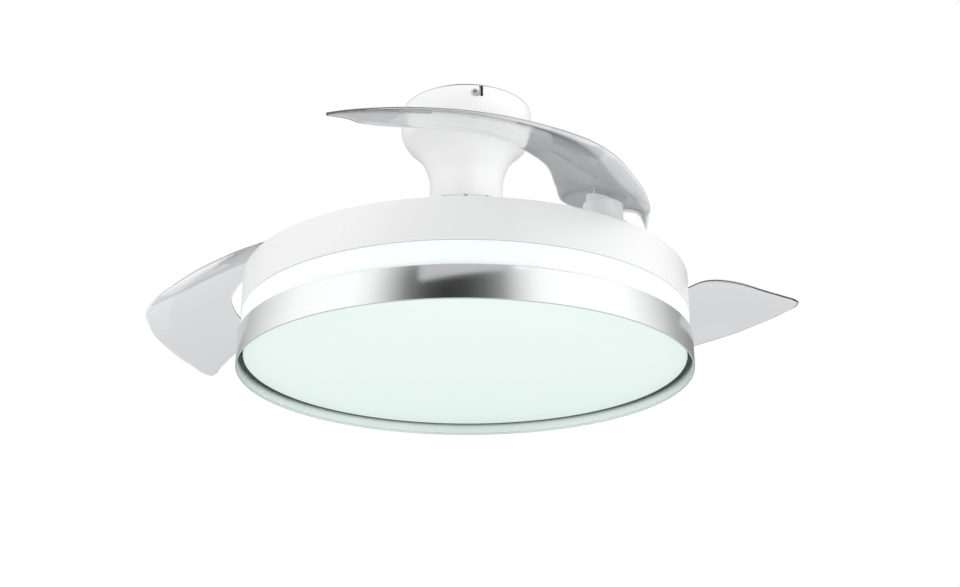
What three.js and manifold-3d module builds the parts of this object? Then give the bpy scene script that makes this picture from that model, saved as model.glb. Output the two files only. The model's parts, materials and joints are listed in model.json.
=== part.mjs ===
// A ceiling fan with a round LED lamp under it and three clear blades that fold in over the lamp.
// Everything hangs from a steel plate on the ceiling. A hollow tube runs from the plate down through
// the motor and carries the lamp, which stands still. The motor's outer shell turns round the tube and
// turns a round carrier. On the carrier three hubs pivot on pins that lean outwards a little, so that a
// blade's tip hangs low when it is open and rises over the lamp's rim when it folds in.
// Millimetres, +Z up. Heights are counted from the lamp's lower lip, and the last group moves the whole
// fan down, so that the ceiling lies at Z = 0.
import * as THREE from "three";
import { mergeVertices } from "three/addons/utils/BufferGeometryUtils.js";
import Module from "manifold-3d";

const wasm = await Module();
wasm.setup();

// ---------------------------------------------------------------- driving dimensions

const gap = 0.3; // between pieces that rest on each other
const runningGap = 2; // between what turns and what stands still

// lamp
const lampRadius = 250; // outside of the metal ring
const metalHeight = 34.7;
const metalWall = 1.4;
const metalHem = 2.4; // thickness of the rolled lower edge
const metalHemHeight = 3;
const bandInset = 3; // glowing band, set back from the metal ring's outside
const bandHeight = 24.9;
const bandWall = 3;
const coverInset = 1.8; // white ring over the band, set back from the same
const coverHeight = 44.2;
const coverWall = 2.6;
const ledgeWidth = 8; // inner ledges of the white ring
const ledgeThickness = 2.4;
const topPanDepth = 5; // how far the lamp's top lies below the white ring's edge
const panThickness = 1.2;
const panRimDepth = 9;
const panStepRadius = 150;
const panStep = 2.4;
const diffuserInset = 7; // diffuser's wall, set back from the same
const diffuserRecess = 13; // from the lip up to the diffuser
const diffuserWall = 2.5;
const diffuserFlange = 4.6;
const clipWidth = 16;
const clipThickness = 2;
const trayOpening = 18;
const trayThickness = 1.2;
const boardInner = 96;
const boardMargin = 37; // from the board's edge to the tray's
const boardThickness = 1.6;
const ledSize = 5;
const ledHeight = 1.4;
const ledMargin = 16; // from the board's inner edge to the first ring of LEDs
const ledRimMargin = 18; // from the last ring to the board's outer edge
const ledsPerRing = 5;
const driverSize = [118, 62, 24];
const driverOffset = 88; // from the lamp's axis
const driverEar = 12;
const earThickness = 2;
const standoffCircle = 128;
const standoffRadius = 5;
const rivetHead = 1.6;
const rivetRadius = 4.3;

// tube and ceiling parts
const fanHeight = 327; // lip to ceiling
const plateRadius = 76.9;
const plateThickness = 1.5;
const plateOpening = 19;
const ceilingSlotCircle = 52;
const ceilingSlotLength = 14;
const ceilingSlotWidth = 5;
const tabWidth = 14; // upright tabs that take the canopy's screws
const tubeRadius = 10;
const tubeBore = 7.6;
const tubeBelowYoke = 6.7;
const tubeBelowNut = 5;
const wireHoleRadius = 4;
const yokeWidth = 30; // across the two cheeks, outside
const yokeDepth = 26;
const yokeThickness = 2.5;
const yokeHeight = 34;
const crossBoltRadius = 3;
const crossHexRadius = 5.5; // over the corners of its head and nut
const crossHexHeight = 4.5;
const crossBoltDrop = 22; // below the plate
const nutAcross = 30; // hexagon that holds the lamp on the tube
const nutHeight = 8;
const collarRadius = 17;
const collarFlange = 3;
const collarWall = 2.5;
const receiverSize = [62, 20, 24];
const receiverOffset = 35;
const aerialRadius = 1.2;
const aerialLength = 9;
const boxCorner = 3.5; // corners of the receiver and the driver
const terminalSize = [34, 16, 15];
const terminalOffset = -30;
const terminalWell = 2.2; // radius of its screw wells and wire ways

// canopy
const canopyWall = 2.2;
const canopyRim = 77.5; // radius of its upper edge
const canopyRimHeight = 21.5;
const canopyNeck = 42.5;
const canopyNeckFoot = 200;
const canopyFlare = [[0, 0], [2, 8], [6, 15], [13, 21.5], [24, 35], [30, 48], [34, 61]]; // in, down
const canopyFlareHeight = 74; // from the upright rim's end to the neck
const slotWidth = 4.6;
const slotDepth = 13.5;
const slotAngle = -77; // entry of the bayonet slot, degrees
const slotTurn = 5.3; // from the entry to the screw, degrees
const screwDrop = 9.4; // canopy screws below the rim's edge
const screwRadius = 2;
const screwHeadRadius = 4.1;
const screwHeadHeight = 2.6;

// motor
const motorRadius = 74;
const motorWall = 2.6;
const motorTop = 196;
const motorSplit = 150;
const motorShoulder = 14; // rounding of the shell's top and bottom edge
const ventCount = 18;
const ventCircle = 68;
const ventLength = 8;
const ventWidth = 4.4;
const statorHeight = 26;
const statorTeeth = 9;
const toothWidth = 12;
const toothTip = 5;
const toothGap = 8.5; // between the tips of two teeth
const statorYoke = 26;
const airGap = 0.8;
const magnetThickness = 6;
const magnetHeight = 32;
const coilThickness = 4;
const leadsDrop = 1.5; // ring of leads below the coils
const bearingRadius = 21;
const bearingWidth = 10;
const bearingRace = 4; // thickness of each race
const bearingGroove = 1.2;
const bearingSeatWall = 2.4;
const motorMouth = 15; // opening round the tube

// blade carrier and pivots
const bladeCount = 3;
const carrierRadius = 176;
const carrierThickness = 4;
const carrierBore = 24;
const earRadius = 25.5;
const carrierHoles = 3;
const carrierHoleCircle = 104;
const carrierHoleRadius = 15;
const carrierScrewCircle = 52;
const carrierScrewRadius = 1.7;
const pivotCircle = 216.3;
const pivotAzimuth = -49.6; // of the first blade, degrees
const pivotLean = 2.5; // outward lean of each pin, degrees
const padRadius = 23;
const padHeight = 2.1; // at the pivot, over the carrier
const pinRadius = 5;
const pinHeadRadius = 8;
const pinHeadHeight = 2;
const hubRadius = 20.5;
const hubWall = 3;
const hubHeight = 20.5; // over the pad
const hubSeatRadius = 17; // seat of the blade on the hub
const springRadius = 11;
const springWire = 1.4;
const springTurns = 3;
const stopWidth = 5;
const stopHeight = 4;
const closedStop = -60; // hub angles at the two stops, degrees
const openStop = 8;
const restOpening = [0, -15.8, 6.2]; // how far each blade stands open, degrees

// blade, in its hub's frame: x points outwards, -y towards the tip, z along the pin
const bladeReach = 356; // from the pin to the tip
const bladeThickness = 2.6;
const bladeEdge = 1.4;
const bladeCamber = 3.5;
const fullChord = 80; // width from which the blade has its full camber
const bladeRise = 27.5; // over the pad at the pivot
const bladePitch = -0.2813; // slope across, outwards
const bladeDroop = -0.1737; // slope along, towards the root
const bladeArch = -0.2225; // curvatures, per reach
const bladeTwist = -0.142;
const bladeBend = -0.2802;
const bladeSections = 19;
const bladeStrips = 4;
const bladeScrewCircle = 13;
const bladeScrewRadius = 1.5;
// both edges in hundredths of the reach, from the root to the tip
const bladeOuterEdge = [
  [0.98, 17.98], [8.15, 10.96], [16.01, 2.25], [22.47, -7.02], [28.93, -18.54], [33.15, -28.93],
  [36.24, -42.13], [35.11, -55.34], [30.06, -68.54], [23.6, -83.43], [17.7, -95.79], [9.83, -100],
];
const bladeInnerEdge = [
  [0.14, 17.56], [4.49, 9.27], [-1.69, 7.58], [-12.92, 5.62], [-16.01, -0.84], [-8.15, -11.24],
  [2.81, -25.84], [7.87, -44.94], [5.34, -59.27], [-1.12, -73.03], [-0.28, -82.87], [8.71, -93.82],
  [8.71, -99.16],
];

// facets round each kind of turned piece
const lampFacets = 36;
const canopyFacets = 24;
const motorFacets = ventCount; // one to each vent
const hubFacets = 12;
const shaftFacets = 12;
const screwFacets = 8;

// ---------------------------------------------------------------- heights and radii that follow

const bandRadius = lampRadius - bandInset;
const coverRadius = lampRadius - coverInset;
const diffuserRadius = lampRadius - diffuserInset;
const bandFoot = metalHeight + gap;
const coverFoot = bandFoot + bandHeight + gap;
const coverTop = coverFoot + coverHeight;
const lampTop = coverTop - topPanDepth; // upper side of the lamp's top pan
const trayTop = coverFoot + ledgeThickness + gap + trayThickness;
const carrierFoot = coverTop + runningGap;
const carrierTop = carrierFoot + carrierThickness;
const motorFoot = carrierTop + gap;
const plateFoot = fanHeight - plateThickness;
const canopyTop = plateFoot - gap;
const bladeScrewFoot = hubHeight - hubWall + 2 * gap;
const shaftRadius = tubeRadius + gap; // bore of what sits on the tube
const boltHeight = plateFoot - crossBoltDrop;
const tubeTop = plateFoot - gap - yokeThickness - tubeBelowYoke;
const metalInside = lampRadius - metalWall;
const coverInside = coverRadius - coverWall;
const trayRadius = coverInside - coverWall;
const boardOuter = trayRadius - boardMargin;
const firstLeds = boardInner + ledMargin;
const lastLeds = boardOuter - ledRimMargin;
const ledRings = [firstLeds, (firstLeds + lastLeds) / 2, lastLeds];
const statorMiddle = motorSplit;
const magnetOuter = motorRadius - motorWall - gap;
const magnetInner = magnetOuter - magnetThickness;
const statorRadius = magnetInner * Math.cos(Math.PI / motorFacets) - airGap; // gap at the facets' middles
const upperBearingFoot = motorTop - motorWall - bearingWidth;
const lowerBearingFoot = motorFoot + motorWall;

// ---------------------------------------------------------------- shaping helpers

// A closed mesh as a solid, with its shared corners merged.
function solidOf(geometry) {
  const bare = geometry.index ? geometry.toNonIndexed() : geometry.clone();
  bare.deleteAttribute("normal");
  bare.deleteAttribute("uv");
  const merged = mergeVertices(bare, 1e-4);
  return new wasm.Manifold(
    new wasm.Mesh({
      numProp: 3,
      vertProperties: merged.attributes.position.array,
      triVerts: new Uint32Array(merged.index.array),
    }),
  );
}

function geometryOf(solid) {
  const mesh = solid.getMesh();
  const geometry = new THREE.BufferGeometry();
  geometry.setAttribute("position", new THREE.BufferAttribute(mesh.vertProperties, 3));
  geometry.setIndex(new THREE.BufferAttribute(mesh.triVerts, 1));
  const loose = geometry.toNonIndexed();
  loose.computeVertexNormals();
  return loose;
}

function cut(body, ...tools) {
  return geometryOf(tools.reduce((rest, tool) => rest.subtract(solidOf(tool)), solidOf(body)));
}

function join(body, ...others) {
  return geometryOf(others.reduce((sum, other) => sum.add(solidOf(other)), solidOf(body)));
}

// Turns a profile of [radius, height] points round the Z axis. A profile that starts on the axis ends on
// it too, and any other is closed on itself.
function turned(profile, segments) {
  const onAxis = profile[0][0] === 0;
  const loop = onAxis ? profile : [...profile, profile[0]];
  let area = 0;
  for (let i = 0; i < loop.length - 1; i += 1) {
    area += loop[i][0] * loop[i + 1][1] - loop[i + 1][0] * loop[i][1];
  }
  const ordered = area > 0 ? loop : [...loop].reverse();
  const points = ordered.map(([radius, height]) => new THREE.Vector2(radius, height));
  return new THREE.LatheGeometry(points, segments).rotateX(Math.PI / 2);
}

function ring(outer, inner, foot, height, segments) {
  return turned([[inner, foot], [outer, foot], [outer, foot + height], [inner, foot + height]], segments);
}

function rod(radius, foot, height, segments = shaftFacets) {
  return new THREE.CylinderGeometry(radius, radius, height, segments)
    .rotateX(Math.PI / 2)
    .translate(0, 0, foot + height / 2);
}

// A cylinder that lies along X, centred on the origin.
function pin(radius, length, segments = 12) {
  return new THREE.CylinderGeometry(radius, radius, length, segments).rotateZ(Math.PI / 2);
}

// Radius of a faceted bore whose flats keep the gap to what it holds.
function boreRadius(held, segments) {
  return (held + gap) / Math.cos(Math.PI / segments);
}

function block(width, depth, height, foot) {
  return new THREE.BoxGeometry(width, depth, height).translate(0, 0, foot + height / 2);
}

// A block with rounded upright edges.
function roundedBlock(width, depth, height, foot, corner) {
  const outline = new THREE.Shape();
  const x = width / 2;
  const y = depth / 2;
  outline.moveTo(-x + corner, -y);
  outline.lineTo(x - corner, -y);
  outline.absarc(x - corner, -y + corner, corner, -Math.PI / 2, 0);
  outline.absarc(x - corner, y - corner, corner, 0, Math.PI / 2);
  outline.absarc(-x + corner, y - corner, corner, Math.PI / 2, Math.PI);
  outline.absarc(-x + corner, -y + corner, corner, Math.PI, Math.PI * 1.5);
  return raised(outline, foot, height, 2);
}

function raised(outline, foot, height, curveSegments = 3) {
  return new THREE.ExtrudeGeometry(outline, { depth: height, bevelEnabled: false, curveSegments })
    .translate(0, 0, foot);
}

// Part of a flat ring between two angles, for notches.
function sector(outer, inner, fromAngle, toAngle, foot, height) {
  const outline = new THREE.Shape();
  outline.absarc(0, 0, outer, radians(fromAngle), radians(toAngle), false);
  outline.absarc(0, 0, inner, radians(toAngle), radians(fromAngle), true);
  return raised(outline, foot, height);
}

// Rounds a profile's corner with a quarter circle, from its outermost point to its highest or lowest one.
function quarterRound(centreRadius, centreHeight, width, height, steps = 2) {
  return Array.from({ length: steps + 1 }, (_, i) => {
    const angle = ((Math.PI / 2) * i) / steps;
    return [centreRadius + width * Math.cos(angle), centreHeight + height * Math.sin(angle)];
  });
}

function radians(degrees) {
  return THREE.MathUtils.degToRad(degrees);
}

function around(count, make) {
  return Array.from({ length: count }, (_, i) => make((i * 2 * Math.PI) / count, i));
}

// A pan-head screw that points down: its head's underside lies at the origin.
function screw(length, radius = screwRadius, headRadius = screwHeadRadius, headHeight = screwHeadHeight) {
  return turned(
    [
      [0, -length],
      [radius, -length],
      [radius, 0],
      [headRadius, 0],
      [headRadius * 0.85, headHeight],
      [0, headHeight],
    ],
    screwFacets,
  );
}

// ---------------------------------------------------------------- finishes

const finish = {
  whitePlastic: { color: 0xf2f2f2, roughness: 0.35, metalness: 0 },
  whiteMetal: { color: 0xe9e9e9, roughness: 0.4, metalness: 0 },
  opal: { color: 0xf8fffd, roughness: 0.4, metalness: 0 },
  silver: { color: 0xb9bcbc, roughness: 0.28, metalness: 1 },
  clearBlade: { color: 0xb4b8ba, roughness: 0.08, metalness: 0, transparent: true, opacity: 0.45 },
  steel: { color: 0x9a9c9d, roughness: 0.4, metalness: 1 },
  aluminium: { color: 0xc9cbcc, roughness: 0.5, metalness: 1 },
  blackPlastic: { color: 0x222324, roughness: 0.5, metalness: 0 },
  copper: { color: 0xb5672f, roughness: 0.4, metalness: 1 },
  magnet: { color: 0x3c3d40, roughness: 0.55, metalness: 0.6 },
  laminations: { color: 0x6d6f71, roughness: 0.6, metalness: 0.9 },
  greyPlastic: { color: 0xc4c7c9, roughness: 0.3, metalness: 0 },
  board: { color: 0xf4f4ee, roughness: 0.6, metalness: 0 },
};

const fan = new THREE.Group();
const hanging = new THREE.Group();
hanging.position.z = -fanHeight;
fan.add(hanging);

function piece(name, geometry, look, parent = hanging) {
  const mesh = new THREE.Mesh(geometry, new THREE.MeshStandardMaterial(look));
  mesh.name = name;
  parent.add(mesh);
  return mesh;
}

function frame(parent, x, y, z, angle = 0) {
  const group = new THREE.Group();
  group.position.set(x, y, z);
  group.rotation.z = angle;
  parent.add(group);
  return group;
}

// ---------------------------------------------------------------- ceiling plate, yoke and tube

function ceilingPlate() {
  const disc = ring(plateRadius, plateOpening, plateFoot, plateThickness, canopyFacets);
  const tabLength = screwDrop + gap + 3 * screwRadius;
  const tabRadius = canopyRim - canopyWall - gap - plateThickness;
  const tabs = [0, Math.PI].map((turn) => {
    const angle = radians(slotAngle - slotTurn) + turn;
    return block(plateThickness, tabWidth, tabLength, plateFoot - tabLength)
      .translate(tabRadius - plateThickness / 2, 0, 0)
      .rotateZ(angle);
  });
  const tapped = [0, Math.PI].map((turn) =>
    pin(boreRadius(screwRadius, screwFacets), 4 * plateThickness, screwFacets)
      .translate(tabRadius, 0, canopyTop - screwDrop)
      .rotateZ(radians(slotAngle - slotTurn) + turn),
  );
  const ceilingSlots = around(4, (angle) =>
    block(ceilingSlotLength, ceilingSlotWidth, 4 * plateThickness, plateFoot - plateThickness)
      .translate(ceilingSlotCircle, 0, 0)
      .rotateZ(angle + Math.PI / 4),
  );
  return cut(join(disc, ...tabs), ...tapped, ...ceilingSlots);
}

function yoke() {
  const outline = new THREE.Shape();
  const x = yokeWidth / 2;
  const foot = plateFoot - gap - yokeHeight;
  const top = plateFoot - gap;
  outline.moveTo(-x, foot);
  outline.lineTo(-x + yokeThickness, foot);
  outline.lineTo(-x + yokeThickness, top - yokeThickness);
  outline.lineTo(x - yokeThickness, top - yokeThickness);
  outline.lineTo(x - yokeThickness, foot);
  outline.lineTo(x, foot);
  outline.lineTo(x, top);
  outline.lineTo(-x, top);
  const bent = new THREE.ExtrudeGeometry(outline, { depth: yokeDepth, bevelEnabled: false })
    .rotateX(Math.PI / 2)
    .translate(0, yokeDepth / 2, 0);
  const wayForWires = rod(tubeRadius, top - yokeThickness - 1, yokeThickness + 2);
  const boltHole = pin(boreRadius(crossBoltRadius, 12), yokeWidth + 4).translate(0, 0, boltHeight);
  return cut(bent, wayForWires, boltHole);
}

function downTube() {
  const foot = lampTop - panThickness - nutHeight - 2 * gap - tubeBelowNut;
  const tube = ring(tubeRadius, tubeBore, foot, tubeTop - foot, shaftFacets);
  const boltHole = pin(boreRadius(crossBoltRadius, 12), 2 * tubeRadius + 4).translate(0, 0, boltHeight);
  const wireHole = pin(wireHoleRadius, tubeRadius, screwFacets)
    .rotateZ(Math.PI / 2)
    .translate(0, -tubeRadius, motorTop + 4 * wireHoleRadius);
  return cut(tube, boltHole, wireHole);
}

function crossBolt() {
  const reach = yokeWidth / 2 + gap;
  const length = 2 * reach + crossHexHeight + 1.5;
  const shank = pin(crossBoltRadius, length).translate(reach + 0.5 - length / 2, 0, 0);
  const head = pin(crossHexRadius, crossHexHeight, 6).translate(reach + crossHexHeight / 2, 0, 0);
  return join(shank, head).translate(0, 0, boltHeight);
}

function crossNut() {
  const hexagon = pin(crossHexRadius, crossHexHeight, 6);
  const bore = pin(boreRadius(crossBoltRadius, 12), crossHexHeight + 2);
  return cut(hexagon, bore).translate(-(yokeWidth / 2 + gap + crossHexHeight / 2), 0, boltHeight);
}

piece("ceiling_plate", ceilingPlate(), finish.steel);
piece("hanger_yoke", yoke(), finish.steel);
piece("down_tube", downTube(), finish.steel);
piece("cross_bolt", crossBolt(), finish.steel);
piece("cross_bolt_nut", crossNut(), finish.steel);

// ---------------------------------------------------------------- canopy and what it covers

// Bell: an upright rim, a rounded shoulder, a hollow flare and a long neck. The same curve, moved in by
// the wall, is its inside.
function canopyCurve(inset) {
  const rim = canopyRim - inset;
  const neck = canopyNeck - inset;
  const shoulder = canopyTop - canopyRimHeight;
  const curve = new THREE.SplineCurve([
    ...canopyFlare.map(([inwards, down]) => new THREE.Vector2(rim - inwards, shoulder - down)),
    new THREE.Vector2(neck, shoulder - canopyFlareHeight),
  ]);
  return curve.getPoints(5).map((point) => [point.x, point.y]);
}

function canopy() {
  const outside = [[canopyRim, canopyTop], ...canopyCurve(0), [canopyNeck, canopyNeckFoot]];
  const inside = [
    [canopyRim - canopyWall, canopyTop],
    ...canopyCurve(canopyWall),
    [canopyNeck - canopyWall, canopyNeckFoot],
  ];
  const bell = turned([...outside, ...inside.reverse()], canopyFacets);
  const slots = [0, 180].flatMap((turn) => {
    const entry = block(6 * canopyWall, slotWidth, slotDepth + 1, canopyTop - slotDepth)
      .translate(canopyRim - canopyWall, 0, 0)
      .rotateZ(radians(slotAngle + turn));
    const legEnd = slotAngle - slotTurn - THREE.MathUtils.radToDeg((screwRadius + gap) / canopyRim);
    const leg = sector(
      canopyRim + 2 * canopyWall,
      canopyRim - 3 * canopyWall,
      legEnd + turn,
      slotAngle + turn,
      canopyTop - slotDepth,
      slotDepth - screwDrop + screwRadius + gap,
    );
    return [entry, leg];
  });
  return cut(bell, ...slots);
}

piece("canopy", canopy(), finish.whitePlastic);
[0, 180].forEach((turn, i) => {
  const seat = frame(hanging, 0, 0, canopyTop - screwDrop, radians(slotAngle - slotTurn + turn));
  const lying = screw(canopyWall + 3 * screwRadius).rotateY(Math.PI / 2).translate(canopyRim + gap, 0, 0);
  piece(`canopy_screw_${i + 1}`, lying, finish.steel, seat);
});

function receiver() {
  const [width, depth, height] = receiverSize;
  const foot = plateFoot - gap - height;
  const aerial = rod(aerialRadius, foot - aerialLength, aerialLength + 1, 6)
    .translate(width / 2 - 4 * aerialRadius, 0, 0);
  return join(roundedBlock(width, depth, height, foot, boxCorner), aerial).translate(0, receiverOffset, 0);
}

function terminalBlock() {
  const [width, depth, height] = terminalSize;
  const foot = plateFoot - gap - height;
  const body = block(width, depth, height, foot);
  const wells = [-1, 0, 1].flatMap((i) => [
    rod(terminalWell, foot - 1, height / 2 + 1, screwFacets).translate((i * width) / 3, 0, 0),
    pin(terminalWell, depth + 2, 6).rotateZ(Math.PI / 2).translate((i * width) / 3, 0, foot + height / 2),
  ]);
  return cut(body, ...wells).translate(0, terminalOffset, 0);
}

piece("remote_receiver", receiver(), finish.whitePlastic);
piece("terminal_block", terminalBlock(), finish.whitePlastic);

// ---------------------------------------------------------------- motor, inner part on the tube

// One lamination's outline, raised to the height of the stack: a yoke, and teeth that spread at the tip.
function statorCore() {
  const outline = new THREE.Shape();
  const half = Math.asin(toothWidth / 2 / statorYoke);
  const neck = Math.asin(toothWidth / 2 / (statorRadius - toothTip));
  const shoe = Math.PI / statorTeeth - toothGap / 2 / statorRadius;
  const at = (radius, angle) => [radius * Math.cos(angle), radius * Math.sin(angle)];
  around(statorTeeth, (angle, i) => {
    const start = at(statorYoke, angle - half);
    if (i === 0) {
      outline.moveTo(...start);
    } else {
      outline.lineTo(...start);
    }
    outline.lineTo(...at(statorRadius - toothTip, angle - neck));
    outline.lineTo(...at(statorRadius - toothTip / 2, angle - shoe));
    outline.lineTo(...at(statorRadius, angle - shoe));
    outline.lineTo(...at(statorRadius, angle));
    outline.lineTo(...at(statorRadius, angle + shoe));
    outline.lineTo(...at(statorRadius - toothTip / 2, angle + shoe));
    outline.lineTo(...at(statorRadius - toothTip, angle + neck));
    outline.lineTo(...at(statorYoke, angle + half));
  });
  const foot = statorMiddle - statorHeight / 2;
  const bore = rod(shaftRadius, foot - 1, statorHeight + 2);
  return cut(raised(outline, foot, statorHeight), bore);
}

// Coils, one round each tooth, joined by the ring of leads under them.
function windings() {
  const inner = statorYoke + 5;
  const outer = statorRadius - toothTip - gap;
  const length = outer - inner;
  const height = statorHeight + 2 * (coilThickness + gap);
  const foot = statorMiddle - height / 2;
  const coils = around(statorTeeth, (angle) =>
    cut(
      block(length, toothWidth + 2 * (coilThickness + gap) - 1, height, foot),
      block(length + 2, toothWidth + 2 * gap, statorHeight + 2 * gap, foot + coilThickness),
    )
      .translate((inner + outer) / 2, 0, 0)
      .rotateZ(angle),
  );
  const leads = ring(
    inner + 3 * coilThickness,
    inner + coilThickness,
    foot - leadsDrop,
    2 * leadsDrop,
    statorTeeth * 2,
  );
  return join(leads, ...coils);
}

function race(outer, inner, foot) {
  const inward = inner > shaftRadius + bearingRace;
  const grooveAt = inward ? inner : outer;
  const depth = inward ? bearingGroove : -bearingGroove;
  const profile = [
    [grooveAt, foot],
    [grooveAt + depth, foot + bearingWidth / 2],
    [grooveAt, foot + bearingWidth],
    [inward ? outer : inner, foot + bearingWidth],
    [inward ? outer : inner, foot],
  ];
  return turned(profile, shaftFacets);
}

piece("stator_core", statorCore(), finish.laminations);
piece("stator_windings", windings(), finish.copper);
[["upper", upperBearingFoot], ["lower", lowerBearingFoot]].forEach(([place, foot]) => {
  piece(`${place}_bearing_inner_race`, race(shaftRadius + bearingRace, shaftRadius, foot), finish.steel);
});

// ---------------------------------------------------------------- motor, outer part that turns

// One half of the motor's shell as a closed profile, from its open edge to the bearing seat in its middle.
function shellProfile(open, closed) {
  const up = Math.sign(closed - open);
  const seat = boreRadius(bearingRadius, motorFacets);
  const skin = closed - up * motorWall;
  const seatEdge = skin - up * bearingWidth * 0.9;
  const centre = [motorRadius - motorShoulder, closed - up * motorShoulder];
  const outerRound = quarterRound(...centre, motorShoulder, up * motorShoulder);
  const innerRound = quarterRound(...centre, motorShoulder - motorWall, up * (motorShoulder - motorWall));
  return [
    [motorRadius - motorWall, open],
    [motorRadius, open],
    ...outerRound,
    [motorMouth, closed],
    [motorMouth, skin],
    [seat, skin],
    [seat, seatEdge],
    [seat + bearingSeatWall, seatEdge],
    [seat + bearingSeatWall, skin],
    ...innerRound.reverse(),
  ];
}

function upperShell() {
  const shell = turned(shellProfile(motorSplit + gap / 2, motorTop), motorFacets);
  const vents = around(ventCount, (angle) =>
    block(ventLength, ventWidth, motorShoulder + 4, motorTop - motorShoulder)
      .translate(ventCircle, 0, 0)
      .rotateZ(angle + Math.PI / ventCount),
  );
  return cut(shell, ...vents);
}

function lowerShell() {
  const shell = turned(shellProfile(motorSplit - gap / 2, motorFoot), motorFacets);
  const holes = around(bladeCount, (angle) =>
    rod(boreRadius(carrierScrewRadius, screwFacets), motorFoot - 1, motorWall + 2, screwFacets)
      .translate(carrierScrewCircle, 0, 0)
      .rotateZ(angle),
  );
  return cut(shell, ...holes);
}

piece("motor_upper_shell", upperShell(), finish.whiteMetal);
piece("motor_lower_shell", lowerShell(), finish.whiteMetal);
piece(
  "magnet_ring",
  ring(magnetOuter, magnetInner, statorMiddle - magnetHeight / 2, magnetHeight, motorFacets),
  finish.magnet,
);
[["upper", upperBearingFoot - gap], ["lower", lowerBearingFoot + gap]].forEach(([place, foot]) => {
  piece(`${place}_bearing_outer_race`, race(bearingRadius, bearingRadius - bearingRace, foot), finish.steel);
});

// ---------------------------------------------------------------- carrier, pivots and blades

// Group at a blade's pivot: x points outwards, z lies along the leaning pin, z = 0 on the hub's pad.
function pivotFrame(index) {
  const azimuth = radians(pivotAzimuth + (index * 360) / bladeCount);
  const arm = frame(
    hanging,
    pivotCircle * Math.cos(azimuth),
    pivotCircle * Math.sin(azimuth),
    carrierTop + padHeight,
    azimuth,
  );
  const leaning = new THREE.Group();
  leaning.rotation.y = radians(pivotLean);
  arm.add(leaning);
  return leaning;
}

// The same place as a matrix, for what the carrier has there.
function atPivot(geometry, index) {
  const leaning = new THREE.Matrix4().makeRotationY(radians(pivotLean));
  const azimuth = radians(pivotAzimuth + (index * 360) / bladeCount);
  const placed = new THREE.Matrix4()
    .makeRotationZ(azimuth)
    .multiply(new THREE.Matrix4().makeTranslation(pivotCircle, 0, carrierTop + padHeight))
    .multiply(leaning);
  return geometry.applyMatrix4(placed);
}

// The stop stands on the pad at the tangent's side, inside the hub's wall.
const stopRadius = hubRadius - hubWall / 2;
const stopHalfAngle = THREE.MathUtils.radToDeg(stopWidth / 2 / stopRadius);
const stopAzimuth = 180;

// A disc with an ear for each pivot. Each ear runs into the disc with straight flanks.
function carrier() {
  const blades = Array.from({ length: bladeCount }, (_, i) => i);
  const azimuthOf = (i) => radians(pivotAzimuth + (i * 360) / bladeCount);
  const flank = Math.asin(earRadius / carrierRadius);
  const outline = new THREE.Shape();
  blades.forEach((i) => {
    const azimuth = azimuthOf(i);
    const next = azimuthOf(i + 1);
    const centre = [pivotCircle * Math.cos(azimuth), pivotCircle * Math.sin(azimuth)];
    outline.absarc(...centre, earRadius, azimuth - Math.PI / 2, azimuth + Math.PI / 2, false);
    outline.absarc(0, 0, carrierRadius, azimuth + flank, next - flank, false);
  });
  const holeAt = (radius, circle, azimuth) => {
    const hole = new THREE.Path();
    hole.absarc(circle * Math.cos(azimuth), circle * Math.sin(azimuth), radius, 0, 2 * Math.PI, true);
    outline.holes.push(hole);
  };
  holeAt(carrierBore, 0, 0);
  around(carrierHoles, (angle) =>
    holeAt(carrierHoleRadius, carrierHoleCircle, angle + azimuthOf(0) + Math.PI / carrierHoles),
  );
  around(bladeCount, (angle) => holeAt(screwRadius + gap, carrierScrewCircle, angle));
  const plate = raised(outline, carrierFoot, carrierThickness, 5);
  const belowPlate = block(3 * carrierRadius, 3 * carrierRadius, 3 * carrierThickness, carrierFoot)
    .translate(0, 0, -3 * carrierThickness);
  const pads = blades.map((i) => atPivot(rod(padRadius, -padHeight - 2, padHeight + 2, hubFacets), i));
  const stops = blades.map((i) =>
    atPivot(
      sector(hubRadius - gap, hubRadius - hubWall + gap, -stopHalfAngle, stopHalfAngle, -1, stopHeight + 1)
        .rotateZ(radians(stopAzimuth)),
      i,
    ),
  );
  const pinHole = boreRadius(pinRadius, 12);
  const pinHoles = blades.map((i) => atPivot(rod(pinHole, -3 * carrierThickness, hubHeight, 12), i));
  return cut(join(plate, ...pads, ...stops), ...pinHoles, belowPlate);
}

// Height of the blade's middle surface over the pad.
function bladeHeight(x, y) {
  const curved = bladeArch * x * x + bladeTwist * x * y + bladeBend * y * y;
  return bladeRise + bladePitch * x + bladeDroop * y + curved / bladeReach;
}

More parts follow.
